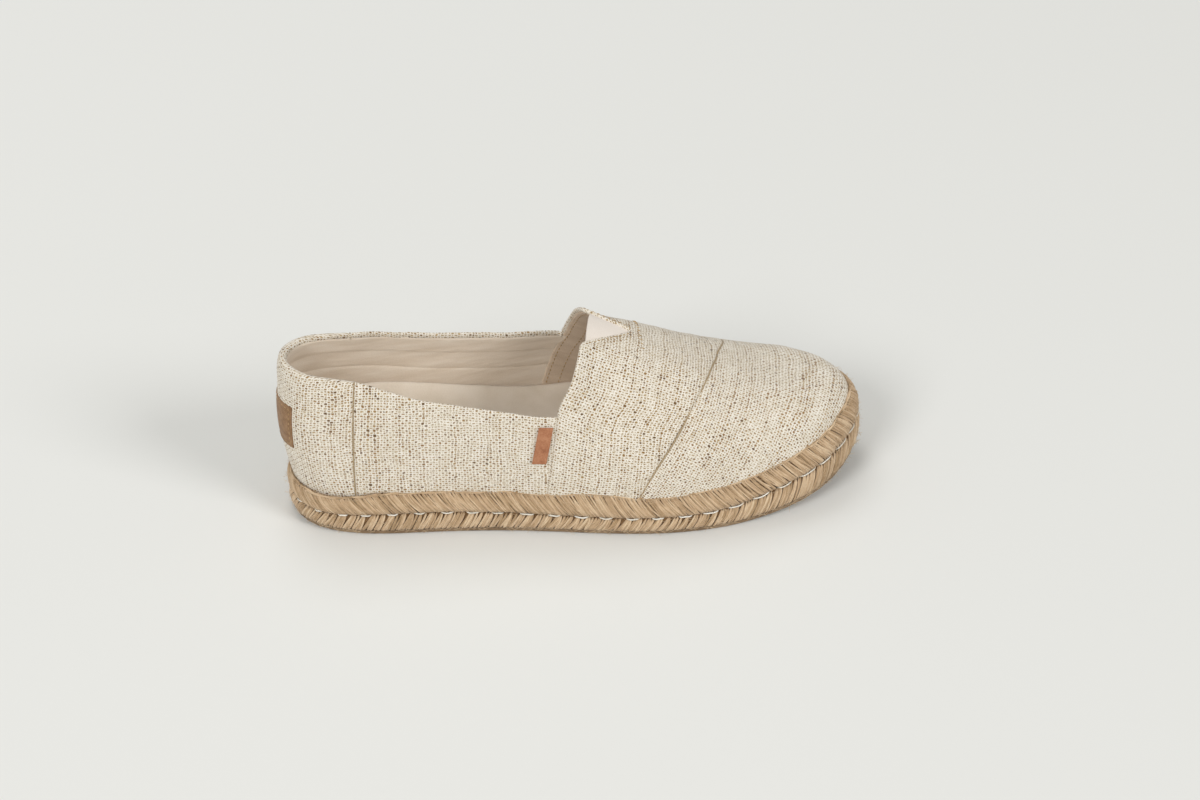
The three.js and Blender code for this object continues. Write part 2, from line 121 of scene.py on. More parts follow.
# %% Outline curve
def closed_curve(knots, per_span):
    knots = np.array(knots, float)
    n = len(knots)
    span = np.linalg.norm(np.roll(knots, -1, 0) - knots, axis=1)
    matrix = np.zeros((n, n))
    turn = np.zeros((n, 2))
    for i in range(n):
        before, after = i - 1, (i + 1) % n
        matrix[i, before] += span[before]
        matrix[i, i] += 2 * (span[before] + span[i])
        matrix[i, after] += span[i]
        turn[i] = 6 * ((knots[after] - knots[i]) / span[i]
                       - (knots[i] - knots[before]) / span[before])
    bend = np.linalg.solve(matrix, turn)
    points = []
    for i in range(n):
        b = np.arange(per_span)[:, None] / per_span
        a = 1 - b
        j = (i + 1) % n
        points.append(a * knots[i] + b * knots[j]
                      + ((a**3 - a) * bend[i] + (b**3 - b) * bend[j]) * span[i]**2 / 6)
    return np.concatenate(points)


PER_SPAN = 40
ring = closed_curve([HEEL_TIP, *MEDIAL, TOE_TIP, *LATERAL[::-1]], PER_SPAN)
toe_index = (len(MEDIAL) + 1) * PER_SPAN


def outline_half(side):
    n = len(ring)
    count = toe_index if side > 0 else n - toe_index
    i = np.arange(count + 1) if side > 0 else n - np.arange(count + 1)
    chord = ring[(i + 1) % n] - ring[(i - 1) % n]
    chord /= np.linalg.norm(chord, axis=1)[:, None]
    point = ring[i % n]
    run = np.concatenate([[0], np.cumsum(np.linalg.norm(np.diff(point, axis=0), axis=1))])
    return {"x": point[:, 0], "y": point[:, 1], "nx": chord[:, 1], "ny": -chord[:, 0],
            "run": run / run[-1], "length": run[-1]}


HALF = {1: outline_half(1), -1: outline_half(-1)}
# the outline runs with the medial side first, so its inward side needs checking
for side in (1, -1):
    half = HALF[side]
    middle = len(half["x"]) // 2
    if half["ny"][middle] * side > 0:
        half["nx"], half["ny"] = -half["nx"], -half["ny"]
print("outline halves, mm:", round(HALF[1]["length"], 1), round(HALF[-1]["length"], 1))


def edge(side, c, inset):
    """Outline point at share c of one half, moved inwards by inset."""
    side, c = np.broadcast_arrays(np.asarray(side, float), np.asarray(c, float))
    beyond = (c < 0) | (c > 1)
    side = np.where(beyond, -side, side)
    c = np.where(c < 0, -c, np.where(c > 1, 2 - c, c))
    value = {}
    for name in ("x", "y", "nx", "ny"):
        medial = np.interp(c, HALF[1]["run"], HALF[1][name])
        lateral = np.interp(c, HALF[-1]["run"], HALF[-1][name])
        value[name] = np.where(side > 0, medial, lateral)
    return value["x"] + value["nx"] * inset, value["y"] + value["ny"] * inset


def share_at(side, x):
    """Share of a half at which the foot of the wall has this x."""
    half = HALF[side]
    foot = half["x"] + half["nx"] * WELT
    use = slice(int(np.argmin(foot)), int(np.argmax(foot)) + 1)
    return np.interp(x, foot[use], half["run"][use])


def ground(x):
    """Height of the sole's underside: flat, with toe spring and a slight heel lift."""
    toe = np.maximum(0, (x - TOE_SPRING["start"]) / TOE_SPRING["length"])**TOE_SPRING["power"]
    heel = np.maximum(0, 1 - x / HEEL_LIFT["length"])**2
    return TOE_SPRING["rise"] * toe + HEEL_LIFT["rise"] * heel


# %% [markdown]
# ## The last's surface
# Every section rises from the foot of the wall (t = 0) to the spine (t = 1).
# It is the same rule the CAD upper was made with, so cloth laid on it fits.

# %% Surface of the last
def spine_y(x):
    s = np.clip((x - HEEL_FOCUS[0]) / (TOE_FOCUS[0] - HEEL_FOCUS[0]), 0, 1)
    return HEEL_FOCUS[1] + (TOE_FOCUS[1] - HEEL_FOCUS[1]) * s


def skin(side, c, t):
    px, py = edge(side, c, WELT)
    px, py, t = np.broadcast_arrays(px, py, np.asarray(t, float))
    sx = np.clip(px, HEEL_FOCUS[0], TOE_FOCUS[0])
    sy = spine_y(sx)
    reach = np.hypot(sx - px, sy - py)
    angle = t * np.pi / 2
    rounding = 1 - np.maximum(np.cos(angle), 0)**column(LAST, "across", px)
    swell = column(LAST, "swell", px) * np.sin(np.pi * np.minimum(t * 1.3, 1)) * (1 - t)
    inward = reach * rounding - swell
    x = px + (sx - px) / reach * inward
    y = py + (sy - py) / reach * inward
    foot = ground(px) + column(GROOVE, "top", px) + PLAY
    rise = np.maximum(np.sin(angle), 0)**column(LAST, "up", px)
    z = foot + (column(LAST, "crown", x) - foot) * rise
    return np.stack([x, y, z], -1)


def facing(side, c, t):
    """Outward normal of the last."""
    t = np.asarray(t, float)
    along = skin(side, c + 0.004, t) - skin(side, c - 0.004, t)
    up = skin(side, c, np.minimum(t + 0.01, 0.995)) - skin(side, c, np.maximum(t - 0.01, 0))
    normal = np.cross(along, up) * -np.asarray(side, float)[..., None]
    x = skin(side, c, t)[..., 0]
    rise = (column(LAST, "crown", x + 1) - column(LAST, "crown", x - 1)) / 2
    top = np.stack([-rise, np.zeros_like(rise), np.ones_like(rise)], -1)
    normal = np.where((t > 0.985)[..., None] * np.ones(3, bool), top, normal)
    return normal / np.linalg.norm(normal, axis=-1, keepdims=True)


def shell(side, c, t, out):
    """Point of the last moved out along its normal."""
    side, c, t = np.broadcast_arrays(np.asarray(side, float), c, t)
    return skin(side, c, t) + facing(side, c, t) * np.asarray(out, float)[..., None]


def climb(side, c, height):
    """t at which the surface reaches height(x, y)."""
    side, c = np.broadcast_arrays(np.asarray(side, float), np.asarray(c, float))
    low = np.zeros_like(c)
    high = np.ones_like(c)
    for _ in range(32):
        middle = (low + high) / 2
        point = skin(side, c, middle)
        over = point[..., 2] > height(point[..., 0], point[..., 1])
        high = np.where(over, middle, high)
        low = np.where(over, low, middle)
    return (low + high) / 2


sole_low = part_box("jute_sole")[0]
SHIFT = np.array([sole_low[0] * 1000 - ring[:, 0].min(), sole_low[1] * 1000 - ring[:, 1].min(), 0.0])
print("shift from heel tip to frame, mm:", SHIFT.round(2))


def metres(points):
    return (np.asarray(points) + SHIFT) * 0.001


# %% [markdown]
# ## Camera
# One raised side view with a short telephoto lens, a little behind square, so
# that the inside of the heel and the whole outer side are seen.

# %% Camera
def aim(thing, target):
    direction = np.array(target) - np.array(thing.location)
    thing.rotation_euler = (
        math.atan2(math.hypot(direction[0], direction[1]), -direction[2]),
        0.0,
        math.atan2(-direction[0], direction[1]),
    )


CAMERA_TURN = math.radians(-7)
CAMERA_DOWN = math.radians(35)
CAMERA_REACH = 1.1    # m
look_at = metres([131.0, 0.0, 38.0])
camera_data = bpy.data.cameras.new("camera")
camera_data.lens = 71.1
camera_data.sensor_width = 36.0
camera_data.clip_end = 50
camera = bpy.data.objects.new("camera", camera_data)
bpy.context.scene.collection.objects.link(camera)
camera.location = look_at + CAMERA_REACH * np.array([
    math.sin(CAMERA_TURN) * math.cos(CAMERA_DOWN),
    -math.cos(CAMERA_TURN) * math.cos(CAMERA_DOWN),
    math.sin(CAMERA_DOWN),
])
aim(camera, metres([146.1, 1.4, 42.6]))
bpy.context.scene.camera = camera
bpy.context.scene.view_settings.view_transform = "Standard"
print("camera at", [round(v, 3) for v in camera.location])


# %% [markdown]
# ## Small helpers
# Colours are written as sRGB hex and turned to linear once. One function adds
# a node with its settings and links, so that each material reads as a recipe.

# %% Helpers for colours and nodes
def linear(hex_colour):
    values = [int(hex_colour[i:i + 2], 16) / 255 for i in (1, 3, 5)]
    return tuple(v / 12.92 if v <= 0.04045 else ((v + 0.055) / 1.055)**2.4 for v in values) + (1.0,)


def add_node(tree, kind, inputs=(), out=0, stops=(), **settings):
    """Add a shader node and give back one of its outputs.

    inputs are values or other nodes' outputs, in order or by socket name;
    stops are a colour ramp's (place, hex) pairs.
    """
    node = tree.nodes.new("ShaderNode" + kind)
    for name, value in settings.items():
        setattr(node, name, value)
    for socket, value in inputs.items() if isinstance(inputs, dict) else enumerate(inputs):
        if isinstance(value, bpy.types.NodeSocket):
            tree.links.new(value, node.inputs[socket])
        else:
            node.inputs[socket].default_value = value
    if stops:
        elements = node.color_ramp.elements
        while len(elements) < len(stops):
            elements.new(0.5)
        for element, (place, colour) in zip(elements, stops):
            element.position = place
            element.color = linear(colour)
    return node.outputs[out]


def new_material(name, roughness, **sockets):
    material = bpy.data.materials.new(name)
    material.use_nodes = True
    shader = material.node_tree.nodes["Principled BSDF"]
    shader.inputs["Roughness"].default_value = roughness
    for socket, value in sockets.items():
        shader.inputs[socket.replace("_", " ")].default_value = value
    return material, material.node_tree, shader


# %% Helpers for meshes
def nothing_selected():
    if bpy.context.object and bpy.context.object.mode != "OBJECT":
        bpy.ops.object.mode_set(mode="OBJECT")
    bpy.ops.object.select_all(action="DESELECT")


def only(piece):
    nothing_selected()
    piece.select_set(True)
    bpy.context.view_layer.objects.active = piece


def finish(piece, material, node):
    """Give a piece its finish and its body, and hide the CAD node it stands for."""
    piece.data.materials.clear()
    piece.data.materials.append(material)
    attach(piece, "root")
    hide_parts(node)


def apply_modifier(piece, kind, **settings):
    only(piece)
    modifier = piece.modifiers.new(kind.title(), kind)
    for name, value in settings.items():
        setattr(modifier, name, value)
    bpy.ops.object.modifier_apply(modifier=modifier.name)


def lay_grid(name, points, openness=None, pattern=None):
    """Add a grid primitive and lay its vertices on a field of points (rows, columns, 3).

    openness, one value a vertex, says how loose the weave is there; pattern is
    each vertex's place on the cloth before it was sewn, in mm.
    """
    rows, columns = points.shape[:2]
    nothing_selected()
    bpy.ops.mesh.primitive_grid_add(x_subdivisions=columns - 1, y_subdivisions=rows - 1, size=1)
    piece = bpy.context.object
    piece.name = name
    flat = np.empty(len(piece.data.vertices) * 3)
    piece.data.vertices.foreach_get("co", flat)
    flat = flat.reshape(-1, 3)
    column_of = np.rint((flat[:, 0] + 0.5) * (columns - 1)).astype(int)
    row_of = np.rint((flat[:, 1] + 0.5) * (rows - 1)).astype(int)
    piece.data.vertices.foreach_set("co", metres(points)[row_of, column_of].ravel())
    if openness is not None:
        loose = piece.data.attributes.new("openness", "FLOAT", "POINT")
        loose.data.foreach_set("value", np.broadcast_to(openness, (rows, columns))[row_of, column_of])
    if pattern is not None:
        owner = np.empty(len(piece.data.loops), int)
        piece.data.loops.foreach_get("vertex_index", owner)
        layer = piece.data.uv_layers.active
        layer.name = "cloth"
        layer.data.foreach_set("uv", pattern[row_of[owner], column_of[owner]].ravel())
    piece.data.update()
    return piece


WELD_REACH = 1e-5     # m; points nearer than this are one point


def weld(piece):
    only(piece)
    bpy.ops.object.mode_set(mode="EDIT")
    bpy.ops.mesh.select_all(action="SELECT")
    bpy.ops.mesh.remove_doubles(threshold=WELD_REACH)
    bpy.ops.object.mode_set(mode="OBJECT")


def smooth(piece):
    only(piece)
    bpy.ops.object.shade_smooth()


# %% [markdown]
# ## Seams and edges of the upper
# The upper is sewn from five pieces of cloth: toe, instep, two sides and heel.
# Each seam is a line on the last, given by the x it starts from at the foot
# and reaches at the top.

# %% Seam lines
HEEL_SEAM = 30.0
GORE_APEX = 161.5                       # x of the elastic V's point
GORE_REAR_T = {-1: 0.775, 1: 0.845}     # t where the V meets the throat's edge
SIDE_SEAM = {"lateral": (115.4, 17.5), "medial": (125.4, 16.5)}     # x at the foot, x gained up to t = 1
LIFT_SPAN = 70.0                        # y over which the medial lift grows from none to full
OBLIQUE_START, OBLIQUE_GROWS = 96, 30   # x where the slant of the throat sets in, and over how much
MEDIAL_CORNER = {"lift": 4.5, "top": 66, "fade": 8}     # its curve lies higher on the medial side
TOE_SEAM = {                            # x here is t, the place up the section
    "x":       [0, 0.2, 0.375, 0.562, 0.758, 0.9, 1.0],
    "lateral": [154.2, 165, 175, 184, 192.5, 197.4, 201.3],
    "medial":  [174, 188, 198, 204.8, 207.5, 204.8, 201.3],
}


def along(side, x):
    """Share c for a place x on either half, for arrays of sides and places."""
    return np.where(np.asarray(side) > 0, share_at(1, x), share_at(-1, x))


def sided(side, lateral, medial):
    return np.where(np.asarray(side) > 0, medial, lateral)


def soft_step(s):
    """Smooth step from 0 to 1."""
    s = np.clip(s, 0, 1)
    return s * s * (3 - 2 * s)


def side_seam(side, t):
    """x of the seam between side and instep, at t on one side."""
    return sided(side, *(foot + gain * t for foot, gain in SIDE_SEAM.values()))


def toe_seam(side, t):
    return sided(side, column(TOE_SEAM, "lateral", t), column(TOE_SEAM, "medial", t))


def topline(x, y):
    """Height of the topline over a point of the plan."""
    middle = x
    for _ in range(3):
        middle = x - OBLIQUE * y * soft_step((middle - OBLIQUE_START) / OBLIQUE_GROWS)
    return column(TOPLINE, "z", middle) + column(MEDIAL_LIFT, "z", middle) * (0.5 + y / LIFT_SPAN)


def throat_edge(side, t):
    """x of the throat's curved rear edge at t on one side."""
    side, t = np.broadcast_arrays(np.asarray(side, float), np.asarray(t, float))
    low = np.full(t.shape, 112.0)
    high = np.full(t.shape, 150.0)
    for _ in range(24):
        middle = (low + high) / 2
        point = skin(side, along(side, middle), t)
        low_down = soft_step((MEDIAL_CORNER["top"] - point[..., 2]) / MEDIAL_CORNER["fade"])
        lift = MEDIAL_CORNER["lift"] * low_down * (0.5 + point[..., 1] / LIFT_SPAN)
        behind = middle < column(THROAT, "at", point[..., 2] - lift) + OBLIQUE * point[..., 1]
        low = np.where(behind, middle, low)
        high = np.where(behind, high, middle)
    return (low + high) / 2


def corner_of(side):
    """t at which the side seam runs into the throat's lower corner."""
    low, high = 0.2, 0.6
    for _ in range(24):
        middle = (low + high) / 2
        point = skin(side, along(side, side_seam(side, middle)), middle)
        if point[..., 2] < topline(point[..., 0], point[..., 1]):
            low = middle
        else:
            high = middle
    return (low + high) / 2


CORNER_T = {side: corner_of(side) for side in (-1, 1)}


def throat_x(side, t):
    """x of the throat's front edge at t: up the curve, then along the elastic's V."""
    corner = sided(side, CORNER_T[-1], CORNER_T[1])
    rear = sided(side, GORE_REAR_T[-1], GORE_REAR_T[1])
    curve = throat_edge(side, t)
    # the curve starts exactly where the side seam ends
    miss = side_seam(side, corner) - throat_edge(side, corner)
    curve = curve + miss * np.clip(1 - (t - corner) / 0.12, 0, 1)**2
    # the medial edge is drawn back by the gore's pull and bows out
    bow = np.sin(math.pi * np.clip((t - corner) / (rear - corner), 0, 1))
    curve = curve - sided(side, 0.0, 2.4) * bow
    start = throat_edge(side, rear)
    notch = start + (GORE_APEX - start) * np.clip((t - rear) / (1 - rear), 0, 1)
    return np.where(t > rear, notch, curve)


for side in (-1, 1):
    print("side", side, "throat corner x, mm:", round(float(side_seam(side, CORNER_T[side])), 1),
          "elastic's rear x, mm:", round(float(throat_x(side, np.array(GORE_REAR_T[side]))), 1))

# %% [markdown]
# ## Laying cloth on the last
# A panel is a grid of threads laid between two edges. Its borders are turned
# under, which shows as a soft valley at each seam and a rounded topline.

# %% Panel helpers
NEAR_SEAM = (0.0, 0.35, 0.8, 1.4, 2.2)     # mm from a seam, where its valley needs columns


def spaced(count, width):
    """Places from 0 to 1 over a width in mm, packed close to both ends."""
    near = np.array(NEAR_SEAM) / width
    inner = np.linspace(near[-1], 1 - near[-1], count)[1:-1]
    return np.concatenate([near, inner, 1 - near[::-1]])


def valley(distance, depth=0.75, width=0.8):
    """How far cloth dips at this many mm from a seam."""
    return -depth * np.exp(-(distance / width)**2)


# side, from (x, t), to (x, t), depth, width in mm; a ridge is negative
CREASES = [
    (-1, (178, 0.25), (169, 0.80), 0.55, 4.5),     # where the foot bends
    (-1, (186, 0.45), (180, 0.95), -0.35, 4.0),
    (1, (196, 0.30), (182, 0.95), 0.50, 4.5),
    (-1, (128, 0.12), (140, 0.42), 0.45, 5.0),     # pulled by the tab's seam
    (-1, (34, 0.55), (52, 0.30), 0.50, 5.5),       # slack behind the ankle
    (-1, (78, 0.10), (58, 0.45), -0.35, 6.0),
    (1, (38, 0.60), (60, 0.30), 0.55, 6.0),
    (1, (98, 0.15), (112, 0.50), 0.50, 6.0),
    (-1, (236, 0.30), (247, 0.12), 0.40, 4.0),     # toe cloth eased into the rope
    (1, (232, 0.30), (246, 0.14), 0.40, 4.0),
    (-1, (5, 0.10), (20, 0.30), 0.35, 5.0),
    (1, (5, 0.10), (20, 0.30), 0.35, 5.0),
]
GIRTH = 90            # mm round the wall for t from 0 to 1, near enough for creases


def ease(side, points_x, points_t):
    """Unevenness of hand-lasted cloth: a slight wave all over and the main creases."""
    out = (0.16 * np.sin(points_x * 0.21 + 5 * points_t) * np.sin(points_x * 0.083 + 1.3)
           + 0.10 * np.sin(points_x * 0.37 - 9 * points_t + 0.7))
    here = np.stack([points_x, points_t * GIRTH], -1)
    for crease_side, start, end, depth, width in CREASES:
        a = np.array([start[0], start[1] * GIRTH])
        b = np.array([end[0], end[1] * GIRTH])
        share = np.clip(((here - a) @ (b - a)) / ((b - a) @ (b - a)), 0, 1)
        far = np.linalg.norm(here - a - share[..., None] * (b - a), axis=-1)
        soft_ends = 0.35 + 0.65 * np.sin(np.pi * share)
        out = out - depth * soft_ends * np.exp(-(far / width)**2) * (np.asarray(side) == crease_side)
    return out


def turned_edge(points, normals, up, radius, flap=3.0):
    """Rows that roll a border over towards the inside of the shoe.

    points lie on the edge, normals point outwards and up leads out of the cloth.
    """
    radius = np.reshape(radius, (-1, 1))
    rows = []
    for k in range(1, 7):
        turn = math.pi * k / 6
        rows.append(points - normals * radius * (1 - math.cos(turn)) + up * radius * math.sin(turn))
    # the flap's end is pressed back against the wall, behind the lining
    rows.append(points - normals * (2 * radius - 0.1) - up * flap * 0.5)
    rows.append(points - normals * (2 * radius - 0.6) - up * flap)
    return rows


def join_halves(halves):
    """Make one field of two halves whose last rows both lie on the spine."""
    spine = (halves[-1][-1] + halves[1][-1]) / 2
    halves[-1][-1] = spine
    halves[1][-1] = spine
    return np.concatenate([halves[-1], halves[1][:, -2::-1]], axis=1)


def uv_by_unwrap(piece, grain):
    """Unwrap the cloth flat, scale it to millimetres and turn it to the grain.

    grain holds pairs of points that lie along the warp.
    """
    only(piece)
    bpy.ops.object.mode_set(mode="EDIT")
    bpy.ops.mesh.select_all(action="SELECT")
    bpy.ops.uv.unwrap(method="ANGLE_BASED", margin=0.0)
    bpy.ops.object.mode_set(mode="OBJECT")
    mesh = piece.data
    layer = mesh.uv_layers.active
    layer.name = "cloth"
    uv = np.empty(len(mesh.loops) * 2)
    layer.data.foreach_get("uv", uv)
    uv = uv.reshape(-1, 2)
    owner = np.empty(len(mesh.loops), int)
    mesh.loops.foreach_get("vertex_index", owner)
    at = np.zeros((len(mesh.vertices), 2))
    at[owner] = uv
    co = np.empty(len(mesh.vertices) * 3)
    mesh.vertices.foreach_get("co", co)
    co = co.reshape(-1, 3) * 1000
    edges = np.empty(len(mesh.edges) * 2, int)
    mesh.edges.foreach_get("vertices", edges)
    edges = edges.reshape(-1, 2)
    real = np.linalg.norm(co[edges[:, 0]] - co[edges[:, 1]], axis=1).sum()
    flat = np.linalg.norm(at[edges[:, 0]] - at[edges[:, 1]], axis=1).sum()
    uv = uv * (real / flat)
    warp = np.zeros(2)
    for pair in grain:
        start, end = (int(np.argmin(((co - metres(point) * 1000)**2).sum(1))) for point in pair)
        warp += at[end] - at[start]
    turn = math.pi / 2 - math.atan2(warp[1], warp[0])
    rotate = np.array([[math.cos(turn), -math.sin(turn)], [math.sin(turn), math.cos(turn)]])
    uv = uv @ rotate.T
    layer.data.foreach_set("uv", (uv - uv.min(0)).ravel())
    print(piece.name, "cloth size, mm:", (uv.max(0) - uv.min(0)).round(0))


def lengths(points, axis):
    """Millimetres walked over a field of points, along its rows or columns."""
    steps = np.linalg.norm(np.diff(points, axis=axis), axis=-1)
    start = np.zeros_like(np.take(steps, [0], axis=axis))
    return np.concatenate([start, np.cumsum(steps, axis=axis)], axis=axis)


def sew(name, points, grain=(), pattern=None, openness=None, thickness=0.5, bevel=None, welded=True):
    """Make one piece of cloth, tape or leather from its field of points; sizes are in mm.

    pattern is the field's place on the flat cloth. Without it the piece is
    unwrapped, and grain gives pairs of points on the warp. openness says where
    the weave is loose, and bevel is the edges' rounding and its segments.
    """
    piece = lay_grid(name, points, openness, pattern)
    if welded:
        weld(piece)
    if pattern is None:
        uv_by_unwrap(piece, grain)
    if thickness:
        apply_modifier(piece, "SOLIDIFY", thickness=thickness * 0.001, offset=-1.0)
    if bevel:
        apply_modifier(piece, "BEVEL", width=bevel[0] * 0.001, segments=bevel[1], limit_method="ANGLE")
    smooth(piece)
    return piece


# %% [markdown]
# ## Heel and side panels
# These three are simple bands: straight up the wall from the rope to the
# topline, where the cloth is folded over to the inside. The heel's collar is
# folded twice, so it stands out at the top, most at the back.

# %% A band of wall
FOLD_RADIUS = 0.9     # mm, where cloth is folded over at the topline
HEEL_FOLD = 1.0       # mm, what the heel's second fold adds to it
FOLD_GROWS = 34       # mm from the heel seam over which the second fold grows
COLLAR_SWELL = 1.9    # mm, how far the heel's collar stands out
COLLAR_FADE = 9.5     # mm down from the topline
SIDE_CLOTH = 200      # mm; each panel is cut from its own place on the cloth
LEVELS = np.linspace(0, 1, 26)[:, None]


def folded_band(sides, shares, t, gaps, fold=0.0):
    """Field of a band, with its topline turned over.

    gaps is each column's distance in mm from the nearest seam; fold, from 0 to
    1, says how much of the second fold it has.
    """
    base = skin(sides, shares, t)
    depth = base[-1:, :, 2] - base[..., 2]
    collar = COLLAR_SWELL * fold * np.exp(-(depth / COLLAR_FADE)**2)
    points = shell(sides, shares, t, valley(gaps) + ease(sides, base[..., 0], t) + collar)
    normals = facing(sides[-1], shares[-1], t[-1])
    up = points[-1] - points[-2]
    up /= np.linalg.norm(up, axis=1, keepdims=True)
    return np.array([*points, *turned_edge(points[-1], normals, up, FOLD_RADIUS + HEEL_FOLD * fold)])


# %% Heel, from the lateral seam round the back to the medial seam
heel_share = {side: float(share_at(side, HEEL_SEAM)) for side in (1, -1)}
half_length = (HALF[1]["length"] + HALF[-1]["length"]) / 2
place = spaced(40, 2 * heel_share[-1] * half_length) * 2 - 1
sides = np.where(place < 0, -1.0, 1.0)
shares = np.abs(place) * np.where(place < 0, heel_share[-1], heel_share[1])
gaps = (1 - np.abs(place)) * heel_share[-1] * half_length
fold = soft_step(gaps / FOLD_GROWS)
top = climb(sides, shares, lambda x, y: topline(x, y) - (FOLD_RADIUS + HEEL_FOLD * fold))
t = top * LEVELS
heel_field = folded_band(np.broadcast_to(sides, t.shape), np.broadcast_to(shares, t.shape), t, gaps, fold)
heel_field = heel_field[:, ::-1]
across = lengths(heel_field, 1)
middle = heel_field.shape[1] // 2
pattern = np.stack([across - across[:, middle:middle + 1], lengths(heel_field, 0)], -1)
heel_panel = sew("heel_panel", heel_field, pattern=pattern)

# %% Sides, from the heel seam to the side seam, which leans with the throat
side_panels = {}
for side, name in ((-1, "side_panel_lateral"), (1, "side_panel_medial")):
    length = float(side_seam(side, 0.2)) - HEEL_SEAM
    place = spaced(52, length)
    gaps = np.minimum(place, 1 - place) * length
    sides = np.full_like(place, float(side))
    top = np.full_like(place, 0.35)
    for _ in range(4):
        column_x = HEEL_SEAM + (side_seam(side, top) - HEEL_SEAM) * place
        top = climb(sides, along(sides, column_x), lambda x, y: topline(x, y) - FOLD_RADIUS)
    t = top * LEVELS
    column_x = HEEL_SEAM + (side_seam(side, t) - HEEL_SEAM) * place
    side_grid = np.full(t.shape, float(side))
    field = folded_band(side_grid, along(side_grid, column_x), t, gaps)
    pattern = np.stack([lengths(field, 1) + SIDE_CLOTH * side, lengths(field, 0)], -1)
    if side > 0:
        field, pattern = field[:, ::-1], pattern[:, ::-1]
    side_panels[side] = sew(name, field, pattern=pattern)

# %% [markdown]
# ## Instep panel
# One piece from side seam to side seam over the foot. Behind, it ends at the
# throat's edge and at the V that is filled with elastic; in front, at the toe
# seam.

# %% Instep
COUNT_ACROSS = 34
INSTEP_DEPTH = 45.0   # mm from the throat to the toe seam, for spacing the columns
INSTEP_CLOTH = 500    # mm
OPEN_COLUMN = {"at": 4.2, "width": 2.4, "by": 0.26}     # looser threads beside the throat
v_half = np.concatenate([np.linspace(0, 0.86, COUNT_ACROSS), [0.9, 0.93, 0.96, 0.98, 1.0]])
v = np.concatenate([v_half, v_half[-2::-1]])
side_of_row = np.concatenate([-np.ones(len(v_half)), np.ones(len(v_half) - 1)])
# the spine row belongs to both halves
corner_row = sided(side_of_row, CORNER_T[-1], CORNER_T[1])
back_x = np.where(v < corner_row, side_seam(side_of_row, v), throat_x(side_of_row, v))
front_x = toe_seam(side_of_row, v)
place = spaced(30, INSTEP_DEPTH)
x_grid = back_x[:, None] + (front_x - back_x)[:, None] * place[None, :]
t_grid = np.broadcast_to(v[:, None], x_grid.shape)
side_grid = np.broadcast_to(side_of_row[:, None], x_grid.shape)
share_grid = along(side_grid, x_grid)
width = (front_x - back_x)[:, None]
gap_back = place[None, :] * width
gap_front = (1 - place[None, :]) * width
base = skin(side_grid, share_grid, t_grid)
seamed = (v < corner_row)[:, None]
out = valley(gap_front) + np.where(seamed, valley(gap_back), 0) + ease(side_grid, base[..., 0], t_grid)
instep_field = shell(side_grid, share_grid, t_grid, out)
# roll the throat's edge and the V's edge inwards, as columns before the first
normals = facing(side_grid[:, 0], share_grid[:, 0], t_grid[:, 0])
back = instep_field[:, 0] - instep_field[:, 1]
back /= np.linalg.norm(back, axis=1, keepdims=True)
rolled = turned_edge(instep_field[:, 0], normals, back, radius=1.0, flap=2.8)
free = (v >= corner_row)[:, None]
rolled = [np.where(free, r, instep_field[:, 0] - normals * (0.15 * (k + 1)) - back * 0.02 * k)
          for k, r in enumerate(rolled)]
ROLLED = len(rolled)
field = np.concatenate([np.array(rolled[::-1]).transpose(1, 0, 2), instep_field], axis=1)
mid_column = ROLLED + len(place) // 2
# the threads run parallel to the throat's edge and are cut off by the V
cut_off = 1.08 * np.maximum(back_x - throat_edge(side_of_row, v), 0) * (v > corner_row)
across = lengths(field, 1)
up_cloth = lengths(field, 0)[:, mid_column:mid_column + 1]
pattern = np.stack([across - across[:, ROLLED:ROLLED + 1] + cut_off[:, None] + INSTEP_CLOTH,
                    up_cloth + 0 * across], -1)
gap = np.pad(gap_back, ((0, 0), (ROLLED, 0)))
loose = OPEN_COLUMN["by"] * np.exp(-((gap - OPEN_COLUMN["at"]) / OPEN_COLUMN["width"])**2)
loose = loose * np.clip((v - corner_row + 0.1) / 0.15, 0, 1)[:, None]
instep_panel = sew("instep_panel", field, pattern=pattern, openness=loose)

# %% [markdown]
# ## Toe panel
# The toe cloth is pulled round the end of the last, so its threads fan out
# towards the rope. The grid runs from the lateral end of the toe seam round
# the tip to the medial end.

# %% Toe
COUNT_ROUND = 34
TOE_LENGTH = 62.0     # mm from the seam to the tip, for spacing the columns
OPEN_LINE = {"x": 226, "lean": 0.62, "width": 1.6, "by": 0.3}     # one slack thread across the toe
t_rows = np.concatenate([np.linspace(0, 0.9, 30), [0.93, 0.96, 0.98, 1.0]])
halves = {}
for side in (-1, 1):
    start = along(np.full(t_rows.shape, side), toe_seam(side, t_rows))
    places = np.concatenate([NEAR_SEAM, np.linspace(4.5, TOE_LENGTH, COUNT_ROUND)]) / TOE_LENGTH
    share_grid = start[:, None] + (1 - start)[:, None] * places[None, :]
    t_grid = np.broadcast_to(t_rows[:, None], share_grid.shape)
    side_grid = np.full(share_grid.shape, float(side))
    gap = np.where(places * TOE_LENGTH < 6, places * TOE_LENGTH, 9)
    base = skin(side_grid, share_grid, t_grid)
    out = valley(gap) + ease(side_grid, base[..., 0], t_grid)
    halves[side] = shell(side_grid, share_grid, t_grid, out)
toe_field = join_halves(halves)
grain = [(toe_field[k, 5], toe_field[k + 4, 5]) for k in (4, 8, 12, 16)]
front = toe_field[..., 0] - OPEN_LINE["lean"] * (toe_field[..., 1] + 30)
loose = OPEN_LINE["by"] * np.exp(-((front - OPEN_LINE["x"]) / OPEN_LINE["width"])**2)
toe_panel = sew("toe_panel", toe_field, grain, openness=loose)

# %% [markdown]
# ## Rows round the shoe
# The sole, the insole and the lining all follow the outline. A place is given
# either by the millimetres walked round the rope from the heel, lateral side
# first, or by matched stations on the two halves.

# %% Walking round the outline
ROUND = HALF[-1]["length"] + HALF[1]["length"]


